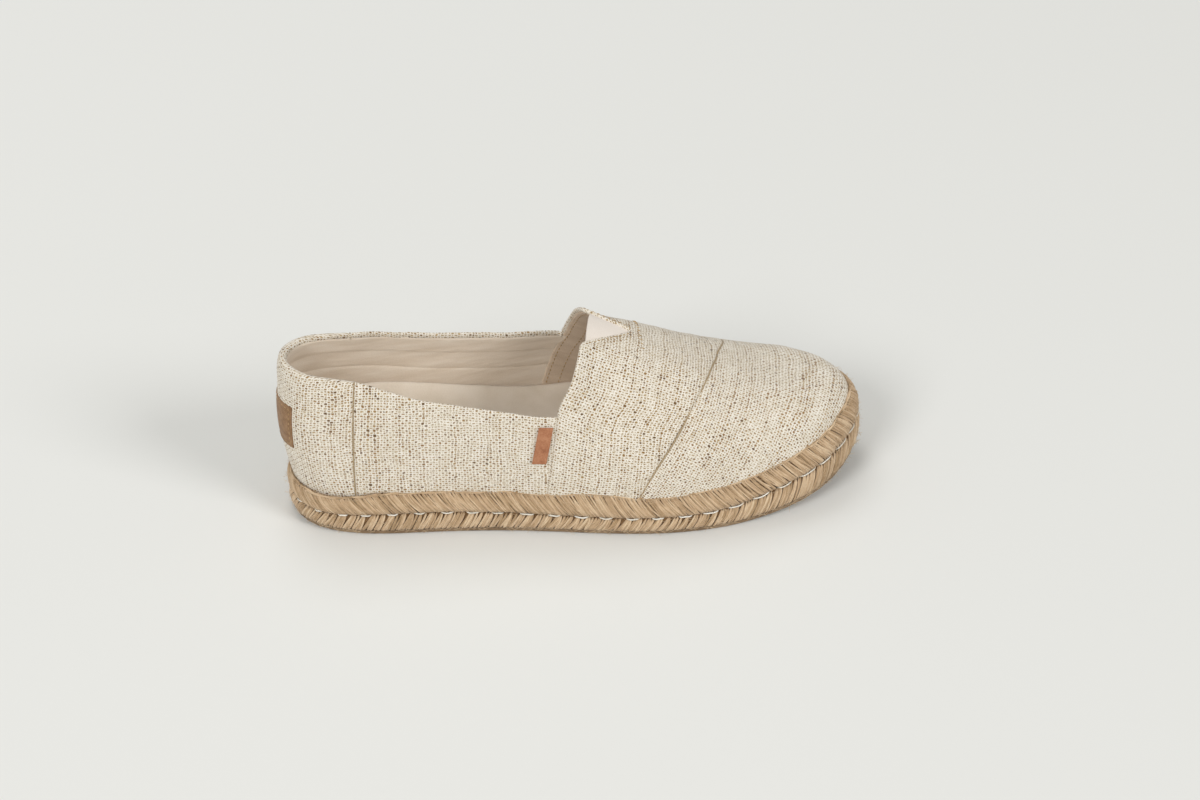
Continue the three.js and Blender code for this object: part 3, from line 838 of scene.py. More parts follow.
def walk(distance):
    """Side and share for a distance walked round the rope."""
    distance = np.mod(distance, ROUND)
    first = distance <= HALF[-1]["length"]
    side = np.where(first, -1.0, 1.0)
    share = np.where(first, distance / HALF[-1]["length"],
                     1 - (distance - HALF[-1]["length"]) / HALF[1]["length"])
    return side, share


def stations(fan, middle):
    xs = np.linspace(HEEL_FOCUS[0], TOE_FOCUS[0], middle + 1)
    shares = {}
    for side in (1, -1):
        first = share_at(side, HEEL_FOCUS[0]) * np.arange(fan) / fan
        last = share_at(side, TOE_FOCUS[0])
        ending = last + (1 - last) * np.arange(1, fan + 1) / fan
        shares[side] = np.concatenate([first, share_at(side, xs), ending])
    return shares


def wall_at(side, share, height, out):
    """Wall point at a height above the ground line, set off level from the wall."""
    foot = edge(side, share, WELT)[0]
    t = climb(side, share, lambda x, y: height + ground(foot))
    normal = facing(side, share, t)
    level = normal[..., 0]**2 + normal[..., 1]**2
    point = skin(side, share, t)
    point[..., 0] += normal[..., 0] * out / level
    point[..., 1] += normal[..., 1] * out / level
    return point


print("round the rope, mm:", round(ROUND, 1))

# %% [markdown]
# ## Lining
# Undyed cotton, sewn in bands: a folded tape under the topline, then two
# wider bands with a seam between them. It stands a little inside the cloth.

# %% Lining of the quarters
LINING_DEPTHS = [2.3, 3.4, 5, 7.5, 9.6, 10.4, 10.8, 11.6, 14, 17, 19.2, 20.0, 20.5, 21.0,
                 21.8, 24, 28, 33, 40, 50, 64]
sides = []
shares = []
for side in (1, -1):
    stop = float(share_at(side, side_seam(side, CORNER_T[side]) + 4))
    place = np.linspace(0, 1, 60)
    shares.append(stop * (place[::-1] if side > 0 else place[1:]))
    sides.append(np.full(len(shares[-1]), float(side)))
sides = np.concatenate(sides)
shares = np.concatenate(shares)
rows = []
for depth in LINING_DEPTHS:
    def height(x, y, depth=depth):
        return np.maximum(topline(np.minimum(x, 120), y) - depth, 22.0)
    t = climb(sides, shares, height)
    tape = -0.35 / (1 + np.exp((depth - 10.6) * 6)) - 0.15 * (depth < 6)
    seam = 0.45 * np.exp(-((depth - 20.5) / 0.55)**2)
    # slack waves, only well below the tape and round the heel
    soft = 0.5 * np.sin(shares * 60 + depth * 0.25) * np.sin(depth * 0.3)
    soft = soft * np.clip((depth - 6) / 8, 0, 1) * np.clip((0.2 - shares) / 0.1, 0, 1)
    rows.append(shell(sides, shares, t, -1.75 + tape + seam + soft))
# its lowest rows meet behind the insole, and stay apart as they are
lining = sew("lining_quarters", np.array(rows), [(rows[14][60], rows[2][60])], thickness=0.3, welded=False)

# %% Lining under the instep and toe
t_rows = np.linspace(0, 1, 36)
halves = {}
for side in (-1, 1):
    start_x = np.where(t_rows < CORNER_T[side], side_seam(side, t_rows), throat_x(side, t_rows) + 1.2)
    start = along(np.full(t_rows.shape, side), start_x)
    share_grid = start[:, None] + (1 - start)[:, None] * np.linspace(0, 1, 60)[None, :]
    t_grid = np.broadcast_to(t_rows[:, None], share_grid.shape)
    # it passes under the elastic, so it lies lower there
    away = (share_grid - start[:, None]) * HALF[side]["length"]
    below = np.clip((t_grid - GORE_REAR_T[side]) / 0.05, 0, 1) * np.exp(-(away / 22)**4)
    halves[side] = shell(np.full(share_grid.shape, float(side)), share_grid, t_grid, -1.7 - 0.7 * below)
vamp_field = join_halves(halves)[:, ::-1]
lining_vamp = sew("lining_vamp", vamp_field, [(vamp_field[2, 10], vamp_field[12, 10])], thickness=0.3)

# %% [markdown]
# ## Throat facing
# A strip of twill tape stiffens the throat on the inside. It is held by two
# rows of tan thread, and its rear edge is turned over a fine cord.

# %% Facing strips
FACING_WIDTH = 15.5


def facing_rows(side):
    """t and rear x of the facing, from inside the collar up to the elastic."""
    t = np.linspace(0.10, GORE_REAR_T[side] - 0.01, 40)
    corner = CORNER_T[side]
    low = side_seam(side, corner) + 1.0 - 17.0 * ((corner - t) / corner)**0.9
    return t, np.where(t < corner, low, throat_x(side, np.maximum(t, corner)) + 0.6)


facings = {}
for side in (-1, 1):
    place = np.array([0, 0.04, 0.12, 0.3, 0.5, 0.7, 0.88, 0.96, 1.0])
    facing_t, rear_x = facing_rows(side)
    x_grid = rear_x[:, None] + FACING_WIDTH * place[None, :]
    side_grid = np.full(x_grid.shape, float(side))
    t_grid = np.broadcast_to(facing_t[:, None], x_grid.shape)
    out = -2.35 + 0.3 * (np.abs(place - 0.5) * 2)**6
    field = shell(side_grid, along(side_grid, x_grid), t_grid, out)
    if side < 0:
        field = field[:, ::-1]
    name = "throat_facing_medial" if side > 0 else "throat_facing_lateral"
    facings[side] = sew(name, field, [(field[2, 4], field[20, 4])], thickness=0.4)

# %% [markdown]
# ## Insole
# A moulded cushion with raised edges, topped with pale suede. Its edge
# stands a hair off the lining, which shows as a thin dark line.

# %% Insole
INSOLE = {
    "x":      [0, 36, 64, 93, 117, 140, 190, 272],
    "edge":   [46.5, 48, 43.4, 37.4, 32.9, 31.8, 27, 25.4],
    "centre": [33, 31, 30, 28.5, 26.5, 25.3, 24.2, 24],
}
PLATFORM = 18.3       # the rope sole's top, where the insole lies
matched = stations(16, 60)
halves = {}
for side in (-1, 1):
    share = matched[side]
    side_row = np.full(share.shape, float(side))
    foot = edge(side_row, share, WELT)[0]
    edge_height = column(INSOLE, "edge", foot)
    bottom = wall_at(side_row, share, np.full(share.shape, PLATFORM), -2.5)
    low = wall_at(side_row, share, PLATFORM * 0.5 + edge_height * 0.5, -2.4)
    rim = wall_at(side_row, share, edge_height - 0.6, -2.3)
    top = wall_at(side_row, share, edge_height, -2.9)
    sx = np.clip(foot, HEEL_FOCUS[0], TOE_FOCUS[0])
    middle = np.stack([sx, spine_y(sx)], -1)
    rows = [bottom, low, rim]
    for s in (0, 0.04, 0.1, 0.18, 0.28, 0.4, 0.55, 0.7, 0.85, 1.0):
        plan = top[:, :2] + (middle - top[:, :2]) * s
        high = ground(foot) + edge_height
        deep = ground(plan[:, 0]) + column(INSOLE, "centre", plan[:, 0])
        rows.append(np.column_stack([plan, deep + (high - deep) * (1 - s)**2.4]))
    halves[side] = np.array(rows)
field = np.concatenate([halves[-1], halves[1][::-1][1:]], axis=0)
insole = sew("insole_top", field, [(field[12, 30], field[12, 60])], thickness=None)

# %% [markdown]
# ## Elastic gore
# A V of ribbed elastic bridges the throat's top. It is sewn under the two
# folded edges of the instep, so its surface lies a little lower.

# %% Gore
GORE_REAR_X = 141.0
gore_v = np.concatenate([np.linspace(GORE_REAR_T[-1] - 0.03, 1, 16),
                         np.linspace(1, GORE_REAR_T[1] - 0.03, 16)[1:]])
gore_side = np.concatenate([-np.ones(16), np.ones(15)])
gore_y = skin(gore_side, along(gore_side, np.full(31, GORE_REAR_X)), gore_v)[:, 1]
gore_back = GORE_REAR_X + 0.2 + 0.2 * gore_y
gore_front = np.maximum(throat_x(gore_side, gore_v) + 1.6, gore_back + 0.8)
place = np.linspace(0, 1, 18)
x_grid = gore_back[:, None] + (gore_front - gore_back)[:, None] * place[None, :]
side_grid = np.broadcast_to(gore_side[:, None], x_grid.shape)
t_grid = np.broadcast_to(gore_v[:, None], x_grid.shape)
gore_field = shell(side_grid, along(side_grid, x_grid), t_grid, np.full(x_grid.shape, -1.15))
gore = sew("gore_elastic", gore_field, [(gore_field[15, 1], gore_field[15, 16])],
           thickness=0.9, bevel=(0.2, 2))

# %% [markdown]
# ## Repeating small things
# A strand, a stitch or a hair is modelled once. Its copies are laid along a
# path by bending its own length onto the path, each with its own points.

# %% Copies along paths
def unit_rod(sides, lengths, round_ends=True):
    """A rod 1 long and 1 in radius, from a cylinder cut across by bisecting."""
    nothing_selected()
    bpy.ops.mesh.primitive_cylinder_add(vertices=sides, radius=1, depth=1, end_fill_type="TRIFAN")
    rod = bpy.context.object
    bpy.ops.object.mode_set(mode="EDIT")
    for k in range(1, lengths):
        bpy.ops.mesh.select_all(action="SELECT")
        bpy.ops.mesh.bisect(plane_co=(0, 0, k / lengths - 0.5), plane_no=(0, 0, 1))
    bpy.ops.object.mode_set(mode="OBJECT")
    mesh = rod.data
    co = np.empty(len(mesh.vertices) * 3)
    mesh.vertices.foreach_get("co", co)
    co = co.reshape(-1, 3)
    faces = [tuple(p.vertices) for p in mesh.polygons]
    bpy.data.objects.remove(rod)
    along_rod = co[:, 2] + 0.5
    round_off = np.ones(len(co))
    if round_ends:
        round_off = np.sqrt(np.clip(1 - (np.abs(along_rod - 0.5) * 2)**6, 0.05, 1))
    return {"u": along_rod, "x": co[:, 0] * round_off, "y": co[:, 1] * round_off, "faces": faces}


def build_copies(name, unit, rods):
    """One mesh from many bent rods.

    Each rod is (path points, outward normals, width, thickness, tint): its
    length follows the path, its thickness stands along the normal.
    """
    points = []
    faces = []
    tint = []
    fibre = []
    base = 0
    for path, normal, width, thick, shade in rods:
        steps = np.linspace(0, 1, len(path))
        centre = np.stack([np.interp(unit["u"], steps, path[:, k]) for k in range(3)], -1)
        out = np.stack([np.interp(unit["u"], steps, normal[:, k]) for k in range(3)], -1)
        tangent = np.gradient(path, axis=0)
        tangent = np.stack([np.interp(unit["u"], steps, tangent[:, k]) for k in range(3)], -1)
        across = np.cross(tangent, out)
        across /= np.linalg.norm(across, axis=1, keepdims=True) + 1e-9
        out = np.cross(across, tangent)
        out /= np.linalg.norm(out, axis=1, keepdims=True) + 1e-9
        points.append(centre + across * (unit["x"] * width)[:, None] + out * (unit["y"] * thick)[:, None])
        faces += [tuple(i + base for i in face) for face in unit["faces"]]
        length = np.linalg.norm(np.diff(path, axis=0), axis=1).sum()
        tint.append(np.full(len(unit["u"]), shade))
        fibre.append(np.column_stack([np.arctan2(unit["y"], unit["x"]) * width + shade * 90,
                                      unit["u"] * length, np.full(len(unit["u"]), shade)]))
        base += len(unit["u"])
    mesh = bpy.data.meshes.new(name)
    mesh.from_pydata(metres(np.concatenate(points)).tolist(), [], faces)
    attribute = mesh.attributes.new("tint", "FLOAT", "POINT")
    attribute.data.foreach_set("value", np.concatenate(tint))
    strand = mesh.attributes.new("fibre", "FLOAT_VECTOR", "POINT")
    strand.data.foreach_set("vector", np.concatenate(fibre).ravel())
    piece = bpy.data.objects.new(name, mesh)
    bpy.context.scene.collection.objects.link(piece)
    only(piece)
    bpy.ops.object.mode_set(mode="EDIT")
    bpy.ops.mesh.select_all(action="SELECT")
    bpy.ops.mesh.normals_make_consistent(inside=False)
    bpy.ops.object.mode_set(mode="OBJECT")
    smooth(piece)
    print(name, "copies:", len(rods), "faces:", len(faces))
    return piece


# %% [markdown]
# ## The two rope rows
# The sole's edge is jute yarn laid side by side at a slant: a broad soft row
# above that leans over the cloth, and a lower row that slants the other way,
# with dark gaps where its yarns turn in under the stitching.

# %% Rope profiles
TOP_ROPE = {
    "x":    [0, 10, 19, 29, 38, 48, 58, 69, 83, 97, 112, 121, 132, 146, 162,
             185, 200, 215, 236, 250, 262],
    "top":  [20.2, 18.9, 18.5, 19.3, 21.0, 21.5, 20.9, 21.3, 20.5, 20.9, 19.5, 19.4, 20.8, 20.2, 18.5,
             20.3, 22, 23.6, 26, 27.3, 28.5],
    "lean": [-1.2, 0.4, 1.2, 2.1, 2.7, 3.1, 3.3, 3.4, 3.5, 3.6, 3.7, 3.7, 3.7, 3.8, 3.8,
             3.8, 3.8, 4, 4.3, 4.4, 4.6],
}
SINK = 0.55           # strand centres lie this far inside the rope's face
RUBBER_TOP = 2.3      # mm above the ground line, where the lower row begins


def upper_rope(distance, q, sink):
    """Point on the upper row's face; q is 0 in the groove and 1 at the cloth."""
    side, share = walk(distance)
    foot = edge(side, share, WELT)[0]
    top = column(TOP_ROPE, "top", foot)
    lean = column(TOP_ROPE, "lean", foot)
    bulge = np.interp(q, [0, 0.12, 0.4, 0.7, 0.9, 1.0], [-0.6, 0.5, 0.95, 0.85, 0.3, -0.9])
    inset = 0.9 + lean * np.clip(q, 0, 1)**1.6 - bulge + sink
    x, y = edge(side, share, inset)
    low = column(GROOVE, "top", x) + 0.1
    return np.stack([x, y, ground(x) + low + (top - low) * q], -1)


def lower_rope(distance, q, sink):
    side, share = walk(distance)
    inset = np.interp(q, [0, 0.12, 0.35, 0.65, 0.85, 1], [0.7, 0.15, -0.1, 0.0, 0.6, 1.9]) + sink
    x, y = edge(side, share, inset)
    return np.stack([x, y, ground(x) + RUBBER_TOP + (column(GROOVE, "top", x) - RUBBER_TOP) * q], -1)


def outward(row, distance, q):
    """Face normal of a rope row."""
    a = row(distance + 0.8, q, 0.0) - row(distance - 0.8, q, 0.0)
    b = row(distance, np.minimum(q + 0.05, 1), 0.0) - row(distance, np.maximum(q - 0.05, 0), 0.0)
    normal = np.cross(a, b)
    return normal / (np.linalg.norm(normal, axis=-1, keepdims=True) + 1e-9)


# %% Rope core behind the strands
# the core is finished dark, as painted shade behind the strands
CORE_WIDTH = 9.0      # mm from the outline to the core's inner face
core_around = np.linspace(0, ROUND, 400, endpoint=False)
profile = [(lower_rope, q, 1.0) for q in (0.0, 0.15, 0.4, 0.7, 0.9, 1.0)]
profile += [(upper_rope, q, 1.0) for q in (0.05, 0.2, 0.45, 0.75, 0.95)]
rows = [row(core_around, np.full(core_around.shape, q), sink) for row, q, sink in profile]
side, share = walk(core_around)
low_x, low_y = edge(side, share, CORE_WIDTH)
rows.append(np.stack([low_x, low_y, rows[-1][:, 2] - 2.0], -1))
rows.append(np.stack([low_x, low_y, ground(low_x) + 2.5], -1))
core_field = np.array(rows + rows[:1])
core_field = np.concatenate([core_field, core_field[:, :1]], axis=1)
rope_core = lay_grid("rope_core", core_field)
weld(rope_core)
smooth(rope_core)

# %% Strands
random = np.random.default_rng(7)
strand_unit = unit_rod(6, 8)
UPPER_PITCH = 0.72    # mm from strand to strand
UPPER_SLANT = -9.0    # mm that a strand runs forward on its way up
rods = []
count = int(ROUND / UPPER_PITCH)
for k in range(count):
    start = k * ROUND / count + random.normal(0, 0.15)
    slant = UPPER_SLANT * random.uniform(0.88, 1.12)
    reach = np.linspace(-0.02, 1.0, 9)
    wander = random.normal(0, 0.22) * np.sin(reach * random.uniform(3, 7) + random.uniform(0, 6))
    distance = start + slant * (reach - 0.5) + wander
    sink = SINK + random.uniform(-0.12, 0.16)
    path = upper_rope(distance, np.clip(reach, 0, 1), sink)
    normal = outward(upper_rope, distance, np.clip(reach, 0.05, 0.95))
    rods.append((path, normal, random.uniform(0.38, 0.5), random.uniform(0.5, 0.62),
                 random.uniform(0, 1)))
# along its top the braid ends in yarns that lie against the cloth
EDGE_PITCH = 5.0      # mm from yarn to yarn, each much longer than that
EDGE_LENGTH = 12
count = int(ROUND / EDGE_PITCH)
for k in range(count):
    reach = np.linspace(0, 1, 9)
    distance = k * ROUND / count + random.normal(0, 0.5) + EDGE_LENGTH * reach
    level = 0.95 + 0.02 * np.sin(reach * random.uniform(2, 5) + random.uniform(0, 6))
    path = upper_rope(distance, level, random.uniform(0.1, 0.25))
    rods.append((path, outward(upper_rope, distance, level), 0.42, 0.36, random.uniform(0, 1)))
upper_strands = build_copies("rope_strands_upper", strand_unit, rods)

LOWER_PITCH = 1.0
LOWER_SLANT = 4.4
GATHER_EVERY = 4.5    # mm; the yarns bunch at their tops under the stitching
rods = []
count = int(ROUND / LOWER_PITCH)
for k in range(count):
    start = k * ROUND / count + random.normal(0, 0.25)
    gather = 0.9 * math.sin(start * 2 * math.pi / GATHER_EVERY)
    reach = np.linspace(0.0, 1.0, 9)
    distance = start + LOWER_SLANT * random.uniform(0.8, 1.25) * (reach - 0.5) + gather * reach**2
    path = lower_rope(distance, reach, SINK + random.uniform(-0.1, 0.2))
    normal = outward(lower_rope, distance, np.clip(reach, 0.05, 0.95))
    rods.append((path, normal, random.uniform(0.54, 0.72), random.uniform(0.46, 0.62),
                 random.uniform(0, 1)))
lower_strands = build_copies("rope_strands_lower", strand_unit, rods)

# %% [markdown]
# ## Lockstitch between the rows
# White waxed thread holds the two rows together. It shows in long dashes in
# the groove and dips under the yarn between them.

# %% White stitches
STITCH_PITCH = 12.0
STITCH_LENGTH = {"x": [0, 60, 180, 245, 270], "mm": [4.0, 6.4, 7.2, 10.2, 10.2]}
rods = []
count = int(ROUND / STITCH_PITCH)
for k in range(count):
    start = k * ROUND / count + random.normal(0, 0.4)
    reach = np.linspace(0, 1, 9)
    side, share = walk(start)
    length = float(column(STITCH_LENGTH, "mm", edge(side, share, WELT)[0]))
    distance = start + length * random.uniform(0.85, 1.1) * reach
    dip = 1.3 * (np.abs(reach - 0.5) * 2)**3
    side, share = walk(distance)
    x, y = edge(side, share, 0.75 + dip)
    height = ground(x) + column(GROOVE, "top", x) + 0.2 + 0.12 * np.sin(reach * 9 + k)
    path = np.stack([x, y, height], -1)
    nx, ny = edge(side, share, 0.0)
    normal = np.stack([nx - x, ny - y, np.zeros_like(x)], -1)
    rods.append((path, normal, 0.36, 0.34, random.uniform(0, 1)))
sole_stitches = build_copies("sole_stitches", strand_unit, rods)

# %% [markdown]
# ## Loose fibres
# Jute sheds. Fine hairs stand off the rope, most of them along the upper edge
# and near the ground. Each is a tube of three sides, since none is seen large.

# %% Fuzz
HAIRS = 2400
HAIR_WIDTH = 0.055    # mm
hair_unit = unit_rod(3, 3, round_ends=False)
rods = []
for k in range(HAIRS):
    row = upper_rope if random.random() < 0.6 else lower_rope
    q = float(np.clip(random.choice([random.normal(0.95, 0.06), random.uniform(0, 1)]), 0, 1))
    if row is lower_rope:
        q = float(np.clip(random.choice([random.normal(0.05, 0.08), random.uniform(0, 1)]), 0, 1))
    start = random.uniform(0, ROUND)
    root = row(np.array([start]), np.array([q]), 0.3)[0]
    out = outward(row, np.array([start]), np.array([np.clip(q, 0.1, 0.9)]))[0]
    lie = row(np.array([start + 1.0]), np.array([q]), 0.3)[0] - root
    length = random.uniform(1.2, 3.4)
    lift = random.uniform(0.15, 0.75)
    bend = random.normal(0, 0.6, 3)
    reach = np.linspace(0, 1, 4)[:, None]
    path = root + lie * length * reach * random.choice([-1, 1])
    path = path + out * length * lift * reach + bend * reach**2
    path[:, 2] = np.maximum(path[:, 2], 0.3)
    normal = np.repeat(out[None, :], 4, axis=0)
    rods.append((path, normal, HAIR_WIDTH, HAIR_WIDTH, random.uniform(0.5, 1)))
fuzz = build_copies("rope_fuzz", hair_unit, rods)

# %% [markdown]
# ## Seam threads
# At the bottom of each seam's valley the cut yarns and the sewing thread show
# as one tan line, its tan darkened to stand for the valley's shade too: painted shade.

# %% Seam lines in tan thread
seam_unit = unit_rod(6, 60, round_ends=False)


def seam_line(side, shares, t, out=-0.6, width=0.32):
    sides = np.full(t.shape, float(side))
    path = shell(sides, shares, t, np.full(t.shape, out))
    return path, facing(sides, shares, t), width, width * 0.8, 0.5


rods = []
for side in (-1, 1):
    t = np.linspace(0.0, 1.0, 61)
    rods.append(seam_line(side, along(np.full(t.shape, side), toe_seam(side, t)), t))
    top = float(climb(float(side), heel_share[side], topline))
    t = np.linspace(0.0, top, 61)
    rods.append(seam_line(side, np.full(t.shape, heel_share[side]), t, out=-0.62, width=0.28))
seam_threads = build_copies("seam_threads", seam_unit, rods)

# %% [markdown]
# ## Fine stitching
# Tan thread runs along the elastic's V, twice down each facing, round the
# heel patch, and in a short bar tack at the V's point.

# %% Tan stitches
THREAD = 0.22         # mm, half a thread's width
thread_unit = unit_rod(5, 4)


def run_of_stitches(points, normals, pitch=2.6, share=0.62):
    """Stitches along a path of points."""
    length = np.concatenate([[0], np.cumsum(np.linalg.norm(np.diff(points, axis=0), axis=1))])
    made = []
    for k in range(int(length[-1] / pitch)):
        at = (k + np.linspace(0, share, 5)) * pitch
        path = np.stack([np.interp(at, length, points[:, i]) for i in range(3)], -1)
        normal = np.stack([np.interp(at, length, normals[:, i]) for i in range(3)], -1)
        dip = 0.18 * (np.abs(np.linspace(-1, 1, 5)))**3
        made.append((path - normal * dip[:, None], normal, THREAD, THREAD * 0.8, random.uniform(0.2, 0.8)))
    return made


rods = []
for side in (-1, 1):
    # along the V, 1.5 mm outside the folded edge
    t = np.linspace(GORE_REAR_T[side] + 0.01, 0.995, 40)
    x = throat_x(side, t) + 1.5
    sides = np.full(t.shape, float(side))
    rods += run_of_stitches(shell(sides, along(sides, x), t, np.full(t.shape, 0.1)),
                            facing(sides, along(sides, x), t))
    # two rows down the facing, on the inside of the shoe
    facing_t, rear_x = facing_rows(side)
    for offset in (1.8, 7.6):
        sides = np.full(facing_t.shape, float(side))
        shares = along(sides, rear_x + offset)
        rods += run_of_stitches(shell(sides, shares, facing_t, np.full(facing_t.shape, -2.5)),
                                -facing(sides, shares, facing_t), pitch=2.2)
# bar tack across the V's point, a little longer on the medial side
TACK_X = (163.6, 165.0)
TACK_FROM, TACK_TO, TACK_STEP = -5.5, 11.1, 1.5
for offset in np.arange(TACK_FROM, TACK_TO, TACK_STEP):
    x = np.linspace(*TACK_X, 5)
    sides = np.full(5, -1.0 if offset < 0 else 1.0)
    shares = along(sides, x)
    t = np.full(5, 1 - abs(offset) / 44)
    rods.append((shell(sides, shares, t, np.full(5, 0.12)), facing(sides, shares, t),
                 0.3, 0.25, random.uniform(0.3, 0.7)))
fine_stitches = build_copies("fine_stitches", thread_unit, rods)

# %% [markdown]
# ## Side tab
# A small folded leather tab caught in the side seam. The real one is stamped;
# here it stays plain.

# %% Side tab
TAG = {"x": 110.0, "width": 6.4, "slant": 3.4, "low": 37.3, "high": 56.2}
# u runs across a tab or patch and w up it, packed close to the edges
u = np.array([0, 0.05, 0.2, 0.5, 0.8, 0.95, 1.0])
w = np.array([0, 0.02, 0.1, 0.3, 0.5, 0.7, 0.9, 0.98, 1.0])
z_grid = (TAG["low"] + (TAG["high"] - TAG["low"]) * w)[:, None] + 0 * u
x_grid = TAG["x"] + TAG["slant"] * w[:, None] + TAG["width"] * u
sides = np.full(x_grid.shape, -1.0)
shares = along(sides, x_grid)
t = climb(sides, shares, lambda x, y: z_grid)
lift = 1.25 + 0.35 * np.exp(-(w[:, None] / 0.12)**2) * (1 - u)
tab_field = shell(sides, shares, t, lift)
side_tab = sew("side_tab", tab_field, [(tab_field[1, 3], tab_field[7, 3])],
               thickness=0.9, bevel=(0.3, 3))

# %% [markdown]
# ## Heel patch
# A plain brown cloth patch sewn flat on the back of the heel.

# %% Heel patch
PATCH = {"reach": 0.052, "low": 40.5, "high": 62.5}     # reach is a share of each half
PATCH_ACROSS, PATCH_UP = 33, 26     # mm on the cloth, near enough to place its groove
u = np.concatenate([[0, 0.02], np.linspace(0.07, 0.93, 17), [0.98, 1.0]])
w = np.concatenate([[0, 0.02], np.linspace(0.08, 0.92, 9), [0.98, 1.0]])
share_line = PATCH["reach"] * (2 * u - 1)
z_grid = (PATCH["low"] + (PATCH["high"] - PATCH["low"]) * w)[:, None] + 0 * u
sides = np.where(share_line < 0, 1.0, -1.0) + 0 * z_grid
shares = np.abs(share_line) + 0 * z_grid
t = climb(sides, shares, lambda x, y: z_grid)
# a shallow groove where the stitching pulls the cloth down, near the rim
rim_u = np.minimum(u, 1 - u) * PATCH_ACROSS
rim_w = np.minimum(w, 1 - w)[:, None] * PATCH_UP
press = np.exp(-((np.minimum(rim_u, rim_w) - 1.8) / 0.5)**2) * 0.2
patch_field = shell(sides, shares, t, 0.62 - press)
heel_patch = sew("heel_patch_cloth", patch_field, [(patch_field[2, 10], patch_field[8, 10])],
                 thickness=0.6, bevel=(0.25, 2))

# %% Stitches round the patch
corners = [(0.055, 0.07), (0.945, 0.07), (0.945, 0.93), (0.055, 0.93), (0.055, 0.07)]
border = np.concatenate([np.linspace(start, end, count)
                         for start, end, count in zip(corners, corners[1:], (30, 20, 30, 20))])
line = PATCH["reach"] * (2 * border[:, 0] - 1)
z_line = PATCH["low"] + (PATCH["high"] - PATCH["low"]) * border[:, 1]
sides = np.where(line < 0, 1.0, -1.0)
shares = np.abs(line)
t = climb(sides, shares, lambda x, y: z_line)
rods = run_of_stitches(shell(sides, shares, t, np.full(line.shape, 0.55)), facing(sides, shares, t))
patch_stitches = build_copies("patch_stitches", thread_unit, rods)

# %% [markdown]
# ## Finishes
# Every finish is worked out from the real stuff: thread spacing, yarn width,
# twill lines, suede nap. Cloth is drawn on each panel's own flat pattern in
# millimetres, so the threads run where the cutter laid them. Rope is drawn
# along each strand.

# %% Helpers for finishes
def weighted(tree, base, *parts):
    """base plus each part times its weight."""
    for value, weight in parts:
        base = add_node(tree, "Math", (value, weight, base), operation="MULTIPLY_ADD")
    return base


def streaked(tree, place, stretch, detail=2.0, roughness=0.5):
    """Noise drawn out into streaks; stretch is how often it changes per mm each way."""
    drawn = add_node(tree, "Mapping", {"Vector": place, "Scale": (*stretch, 1.0)})
    return add_node(tree, "TexNoise", {"Vector": drawn, "Scale": 1.0, "Detail": detail,
                                       "Roughness": roughness})


def surface(tree, shader, colour, height, strength, depth, under=None):
    """Give a shader its colour and the relief of a height, depth in metres."""
    relief = {"Strength": strength, "Distance": depth, "Height": height}
    if under is not None:
        relief["Normal"] = under
    tree.links.new(colour, shader.inputs["Base Color"])
    tree.links.new(add_node(tree, "Bump", relief), shader.inputs["Normal"])


# %% [markdown]
# ## Open slub weave
# Natural cotton and linen, plain woven and a little open, so that tan shows
# through the gaps, painted darker there as shade. A picture of cloth would do,
# but it would repeat. Here each yarn and each gap is counted, and its own random value opens or closes it.

# %% Woven cotton and linen
YARN = 1.45           # mm between warp yarns
PICK = 1.2            # mm between weft yarns
QUARTER = math.pi / 2


def swing(tree, value, pitch, phase=0.0):
    """|sin| of a place with one arch per pitch: the round back of each yarn."""
    turned = weighted(tree, phase, (value, math.pi / pitch))
    wave = add_node(tree, "Math", (turned,), operation="SINE")
    return add_node(tree, "Math", (wave,), operation="ABSOLUTE")


def count_yarns(tree, place, pitch):
    turns = add_node(tree, "Math", (place, pitch), operation="DIVIDE")
    return add_node(tree, "Math", (turns,), operation="FLOOR")


def chance(tree, first, second, seed):
    """A random value for each pair of counts."""
    cell = add_node(tree, "CombineXYZ", (first, second, seed))
    return add_node(tree, "TexWhiteNoise", (cell,), noise_dimensions="3D")


woven, tree, shader = new_material("natural cotton and linen, open slub weave", 0.92,
                                   Sheen_Weight=0.2, Sheen_Roughness=0.6, Specular_IOR_Level=0.2)
plan = add_node(tree, "UVMap", uv_map="cloth")
moved = plan
# the yarns drift slowly and shake quickly; scale is per mm, reach in mm
for scale, reach in ((0.07, 3.0), (0.6, 1.1)):
    wobble = add_node(tree, "TexNoise", {"Vector": plan, "Scale": scale, "Detail": 2.0}, out="Color")
    centred = add_node(tree, "VectorMath", (wobble, (0.5, 0.5, 0.5)), operation="SUBTRACT")
    shift = add_node(tree, "VectorMath", {0: centred, "Scale": reach}, operation="SCALE")
    moved = add_node(tree, "VectorMath", (moved, shift), operation="ADD")
u, v = add_node(tree, "SeparateXYZ", (moved,), out=slice(2))

# %% Yarns that pass over and under
# yarns are round, and where one passes over it stands higher
over_u = add_node(tree, "Math", (weighted(tree, QUARTER, (u, math.pi / YARN)),), operation="SINE")
over_v = add_node(tree, "Math", (weighted(tree, QUARTER, (v, math.pi / PICK)),), operation="SINE")
over = add_node(tree, "Math", (over_u, over_v), operation="MULTIPLY")
warp_lift = weighted(tree, 0.74, (over, 0.24))
weft_lift = weighted(tree, 0.78, (over, -0.24))
warp = add_node(tree, "Math", (swing(tree, u, YARN), warp_lift), operation="MULTIPLY")
weft = add_node(tree, "Math", (swing(tree, v, PICK), weft_lift), operation="MULTIPLY")
yarns = add_node(tree, "Math", (warp, weft), operation="MAXIMUM")

